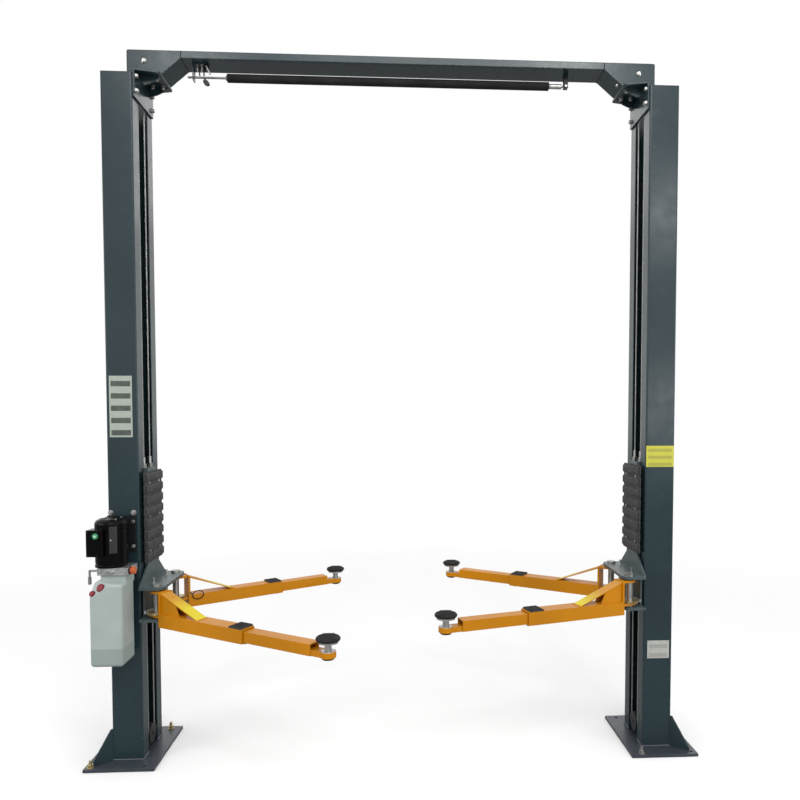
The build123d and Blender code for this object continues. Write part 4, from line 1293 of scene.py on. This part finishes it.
        piece = shaped("screw_caps", caps, "red", "root", "cap_red")
        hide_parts("tank_caps")
        side_way = facing.orthogonal().normalized()
        up_way = facing.cross(side_way)
        ways = [side_way * c + up_way * s for c, s in around(22)]
        points = [centre + way * radius + facing * 0.001 for centre, radius in places for way in ways]
        grown("cap_grips", "teeth", {"Across": 0.0022, "Proud": 0.0020, "Tall": 0.008, "Taper": 0.6},
              "red", "root", points, axes=ways * len(places))


class LIFT_OT_beam_fittings(bpy.types.Operator):
    """Axle nuts, seams and a haunch bolt on the overhead beam, and the shut-off switch with its bar"""

    bl_idname = "lift.beam_fittings"
    bl_label = "Beam fittings"

    def execute(self, context):
        self.beam(context.scene.lift_fasteners.weld_ripple)
        self.haunch_bolt()
        self.switch(low_high("overhead_beam")[0].z)
        self.shut_off_bar()
        return {"FINISHED"}

    def beam(self, ripple):
        """Nuts on the sheave axles, and weld seams where the beam's middle meets its ends."""
        ends_high = low_high("beam_ends")[1]
        axle_low, axle_high = low_high("beam_axles")
        axle_x, axle_z = axle_high.x - 0.010, (axle_low.z + axle_high.z) / 2
        points = [(side * axle_x, y * ends_high.y, axle_z) for side in (-1, 1) for y in (-1, 1)]
        grown("axle_nuts", "bolt", {"Flats": 0.020, "Head": 0.007, "Washer": 0.025, "Stud": 0.002}, "steel",
              "root", points, axes=[(0, p[1], 0) for p in points])
        low, high = low_high("overhead_beam")
        seams = []
        for side in (-1, 1):
            x = side * high.x
            for y in (-high.y - 0.0005, high.y + 0.0005):
                seams += [(x, y, low.z), (x, y, high.z - 0.004)]
            seams += [(x, -high.y, low.z), (x, high.y, low.z)]
        grown("beam_seams", "weld", {"Width": 0.006, "Ripple": ripple}, "column", "root",
              seams, [(i, i + 1) for i in range(0, len(seams), 2)])

    def haunch_bolt(self):
        """Bolt through the sloping underside of the right haunch, near its foot."""
        low, high = low_high("overhead_beam")
        foot_x, foot_z = abs(low_high("beam_brackets")[0].x) - 0.132, low_high("beam_ends")[0].z
        inward = 0.020
        way = Vector((low.z - foot_z, 0, foot_x - high.x)).normalized()
        slope = (low.z - foot_z) / (foot_x - high.x)
        place = Vector((foot_x - inward, -0.060, foot_z + inward * slope))
        grown("haunch_bolt_right", "bolt", {"Flats": 0.017, "Head": 0.007, "Washer": 0.022}, "steel",
              "root", [place], axes=[-way])

    def switch(self, under):
        """Switch body under the beam, with its strap, and the long bolts beside it."""
        bolts = [(x, y, under - 0.005) for y in (-0.022, 0.022) for x in (-1.092, -1.068)]
        grown("switch_bolts", "nut", {"Flats": 0.014, "Head": 0.007, "Washer": 0.020, "Stud": 0.030},
              "dull", "root", bolts, axes=[(0, 0, -1)] * 4)

        def body(bm):
            add_block(bm, (-1.064, -0.018, under - 0.025), (-1.036, 0.018, under - 0.0005))

        def strap(bm):
            front = -0.024
            add_plate(bm, [(-1.050, front, under - 0.012), (-1.041, front, under - 0.008),
                           (-1.016, front, under - 0.058), (-1.025, front, under - 0.062)], FORWARD, 0.003)

        shaped("switch_body", body, "motor", "root", "motor_black", bevel=0.003)
        shaped("switch_strap", strap, "dull", "root", "steel", bevel=0.0008)

    def shut_off_bar(self):
        """Feeler, collars and sleeve that move with the bar, and the heads of its pin."""
        bar_z = middle("limit_bar_foam").z
        foam_low, foam_high = low_high("limit_bar_foam")

        def feeler(bm):
            tilt = Matrix.Rotation(radians(38), 3, "Y")
            centre = Vector((-1.050, -0.008, bar_z - 0.028))
            add_plate(bm, [centre + tilt @ Vector((0.019 * c, 0, 0.013 * s)) for c, s in around(28)],
                      (0, 1, 0), 0.016)
            front = -0.004
            add_plate(bm, [(-1.064, front, bar_z - 0.004), (-1.054, front, bar_z - 0.004),
                           (-1.048, front, bar_z - 0.026), (-1.058, front, bar_z - 0.030)],
                      (0, 1, 0), 0.008)

        bore = 0.0063

        def collars(bm):
            for x, way in ((foam_low.x, -1), (foam_high.x, 1)):
                add_turned(bm, [(bore, 0), (0.013, 0), (0.013, 0.008), (bore, 0.008)], (x, 0, bar_z),
                           (way, 0, 0), sides=28, closed=True)

        def sleeve(bm):
            add_turned(bm, [(bore, 0.008), (0.0125, 0.008), (0.0135, 0.010), (0.0135, 0.072),
                            (0.0125, 0.074), (bore, 0.074)], (foam_high.x, 0, bar_z), (1, 0, 0), sides=36,
                       closed=True)

        shaped("bar_feeler", feeler, "rubber", "limit_bar", "rubber", bevel=0.0008)
        shaped("bar_collars", collars, "dull", "limit_bar", "steel")
        shaped("bar_sleeve", sleeve, "steel", "limit_bar", "steel")
        hanger = middle("bar_hanger")
        pin_ends = [(hanger.x, y * low_high("bar_hanger")[1].y, bar_z) for y in (-1, 1)]
        head = {"Flats": 0.011, "Head": 0.004, "Washer": 0.014, "Washer thickness": 0.001, "Stud": 0.001}
        grown("hanger_pin_heads", "bolt", head, "steel", "root", pin_ends,
              axes=[(0, y, 0) for y in (-1, 1)])


class LIFT_OT_plates(bpy.types.Operator):
    """Plain plates and labels without print, where the real lift carries its own"""

    bl_idname = "lift.plates"
    bl_label = "Blank plates"

    film_thickness, metal_thickness = 0.0006, 0.0012

    def execute(self, context):
        self.plate("long_label_left", (-1.548, -1.427), (1.796, 2.127), self.film_thickness,
                   blank_plate("pale label film", (0.37, 0.41, 0.36, 1), (0.055, 0.065, 0.055, 1), 5))
        self.plate("yellow_plate_right", (1.403, 1.562), (1.623, 1.742), self.film_thickness,
                   blank_plate("yellow label film", (0.53, 0.52, 0.045, 1), (0.36, 0.35, 0.045, 1), 3))
        across, upright = (1.423, 1.549), (0.528, 0.630)
        self.plate("silver_plate_right", across, upright, self.metal_thickness,
                   blank_plate("brushed name plate", (0.50, 0.51, 0.48, 1), (0.38, 0.39, 0.36, 1), 2,
                               roughness=0.40, metallic=0.35))
        inset = 0.007
        rivets = [(x, low_high("column_left")[0].y - self.metal_thickness, z)
                  for x in (across[0] + inset, across[1] - inset)
                  for z in (upright[0] + inset, upright[1] - inset)]
        grown("plate_rivets", "studs", {"Foot": 0.007, "Top": 0.004, "Rise": 0.0018, "Sides": 16}, "steel",
              "root", rivets, axes=[FORWARD] * 4)
        return {"FINISHED"}

    def plate(self, name, across, upright, thick, finish):
        """Thin plate on the column's front, with a UV map that runs from 0 to 1 over it."""
        front = low_high("column_left")[0].y
        (x0, x1), (z0, z1) = across, upright

        def sheet(bm):
            add_block(bm, (x0, front - thick, z0), (x1, front - 0.00005, z1))

        piece = solid(name, sheet, finish)
        uv = piece.data.uv_layers.new(name="panel")
        for loop in piece.data.loops:
            place = piece.data.vertices[loop.vertex_index].co
            uv.data[loop.index].uv = ((place.x - x0) / (x1 - x0), (place.z - z0) / (z1 - z0))
        dress(piece, "root")


# Name, place, point it faces, width and share of the lamp power
LAMPS = (
    ("key light", (0.6, -5.5, 6.5), (0, 0, 1.4), 4.0, 0.66),
    ("left fill", (-5.5, -3.0, 3.2), (0, 0, 1.6), 3.0, 0.30),
    ("right fill", (5.5, -3.6, 2.4), (0, 0, 1.8), 3.0, 0.30),
    ("beam glint left", (-2.3, -4.5, 5.8), (-1.1, 0, 3.8), 0.9, 0.10),
    ("beam glint right", (2.0, -4.5, 5.8), (0.9, 0, 3.8), 0.9, 0.13),
    ("column glint high", (3.2, -4.7, 4.3), (1.5, 0, 3.0), 0.8, 0.055),
    ("column glint low", (3.3, -4.8, 2.0), (1.5, 0, 2.0), 0.8, 0.045),
    ("back light", (0.5, 5.0, 5.5), (0, 0, 2.6), 2.5, 0.05),
)


class LIFT_OT_stage(bpy.types.Operator):
    """Pale floor, soft lights, white surround and the camera at the photograph's angle"""

    bl_idname = "lift.stage"
    bl_label = "Floor, lights and camera"

    def execute(self, context):
        sizes = context.scene.lift_stage
        self.floor(sizes.floor_size / 2)
        self.surround(context.scene, sizes.sky_strength)
        for name, place, aim, width, share in LAMPS:
            self.lamp(context.scene, name, place, aim, width, sizes.lamp_power * share)
        set_camera(context.scene)
        context.scene.view_settings.view_transform = "Standard"
        return {"FINISHED"}

    def floor(self, half):
        """Floor that the camera sees as white further out, and that lights the lift as a grey one."""
        f = Finish("pale floor")
        seen_by_camera = f.node("ShaderNodeLightPath").outputs["Is Camera Ray"]
        pale = f.mix(f.ramp(f.noise(0.8), 0.3, 0.7), (0.955, 0.955, 0.955, 1), (0.975, 0.975, 0.975, 1))
        f.set(Base_Color=f.mix(seen_by_camera, (0.36, 0.36, 0.36, 1), pale), Roughness=0.9,
              Specular_IOR_Level=0.1)
        reach = f.node("ShaderNodeVectorMath", {0: f.place}, operation="LENGTH").outputs["Value"]
        fade = f.product(f.ramp(reach, 2.6, 6.5), seen_by_camera)
        glow = f.node("ShaderNodeEmission", {"Color": WHITE, "Strength": 1.0}).outputs[0]
        blend = f.node("ShaderNodeMixShader", {0: fade, 1: f.shader.outputs[0], 2: glow}).outputs[0]
        f.feed(f.tree.nodes["Material Output"].inputs["Surface"], blend)

        def slab(bm):
            add_block(bm, (-half, -half, -0.02), (half, half, -0.0005))

        solid("floor", slab, f.material)

    def surround(self, scene, sky_strength):
        """White world at the sky strength, and at strength 1 where it is seen or mirrored."""
        world = bpy.data.worlds.new("soft white surround")
        scene.world = world
        world.use_nodes = True
        w = Wiring(world.node_tree)
        sky = w.tree.nodes["Background"]
        w.feed(sky.inputs["Color"], WHITE)
        w.feed(sky.inputs["Strength"], sky_strength)
        seen = w.node("ShaderNodeBackground", {"Color": WHITE, "Strength": 1.0})
        ray = w.node("ShaderNodeLightPath").outputs
        direct = w.maths("MAXIMUM", ray["Is Camera Ray"], ray["Is Glossy Ray"])
        direct = w.maths("MAXIMUM", direct, ray["Is Transmission Ray"])
        mixed = w.node("ShaderNodeMixShader", {0: direct, 1: sky.outputs[0], 2: seen.outputs[0]})
        w.feed(w.tree.nodes["World Output"].inputs["Surface"], mixed.outputs[0])

    def lamp(self, scene, name, place, aim, width, power):
        """Round area light that faces a point."""
        data = bpy.data.lights.new(name, "AREA")
        data.shape = "DISK"
        data.size = width
        data.energy = power
        lamp = bpy.data.objects.new(name, data)
        lamp.location = place
        lamp.rotation_euler = (Vector(aim) - Vector(place)).to_track_quat("-Z", "Y").to_euler()
        scene.collection.objects.link(lamp)


def set_camera(scene):
    """Camera at the photograph's place, for a square picture."""
    yaw, pitch = radians(3.2106), radians(-2.4571)
    data = bpy.data.cameras.new("camera")
    data.lens = 32.316
    data.shift_x = -0.04419
    data.shift_y = 0.05554
    camera = bpy.data.objects.new("camera", data)
    scene.collection.objects.link(camera)
    camera.location = (-0.01021, -4.129, 1.9232)
    forward = Vector((sin(yaw) * cos(pitch), cos(yaw) * cos(pitch), sin(pitch)))
    right = Vector((cos(yaw), -sin(yaw), 0))
    up = right.cross(forward)
    camera.rotation_mode = "QUATERNION"
    camera.rotation_quaternion = Matrix((right, up, -forward)).transposed().to_quaternion()
    scene.camera = camera


class LIFT_PT_panel(bpy.types.Panel):
    """The lift's finishes and fittings"""

    bl_idname = "LIFT_PT_panel"
    bl_label = "Two Post Car Lift"
    bl_space_type = "VIEW_3D"
    bl_region_type = "UI"
    bl_category = "Car Lift"

    def draw(self, context):
        layout = self.layout
        for group in ("lift_paint", "lift_fasteners", "lift_guards", "lift_stage"):
            settings = getattr(context.scene, group)
            box = layout.box()
            for prop in settings.bl_rna.properties:
                if prop.identifier not in ("rna_type", "name"):
                    box.prop(settings, prop.identifier)
        for operator in STEPS:
            layout.operator(operator.bl_idname)


SETTINGS = {"lift_paint": LiftPaint, "lift_fasteners": LiftFasteners, "lift_guards": LiftGuards,
            "lift_stage": LiftStage}
STEPS = (LIFT_OT_finish_frame, LIFT_OT_frame_bolts, LIFT_OT_welds, LIFT_OT_pads, LIFT_OT_door_guards,
         LIFT_OT_arm_fittings, LIFT_OT_carriage_fittings, LIFT_OT_power_unit, LIFT_OT_beam_fittings,
         LIFT_OT_plates, LIFT_OT_stage)


def register():
    for settings in SETTINGS.values():
        bpy.utils.register_class(settings)
    for name, settings in SETTINGS.items():
        setattr(bpy.types.Scene, name, bpy.props.PointerProperty(type=settings))
    for operator in STEPS:
        bpy.utils.register_class(operator)
    bpy.utils.register_class(LIFT_PT_panel)


def unregister():
    bpy.utils.unregister_class(LIFT_PT_panel)
    for operator in reversed(STEPS):
        bpy.utils.unregister_class(operator)
    for name in SETTINGS:
        delattr(bpy.types.Scene, name)
    for settings in reversed(SETTINGS.values()):
        bpy.utils.unregister_class(settings)


def main():
    """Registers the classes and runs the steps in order."""
    register()
    for step in STEPS:
        group, operator = step.bl_idname.split(".")
        getattr(getattr(bpy.ops, group), operator)()


if __name__ == "__main__":
    main()
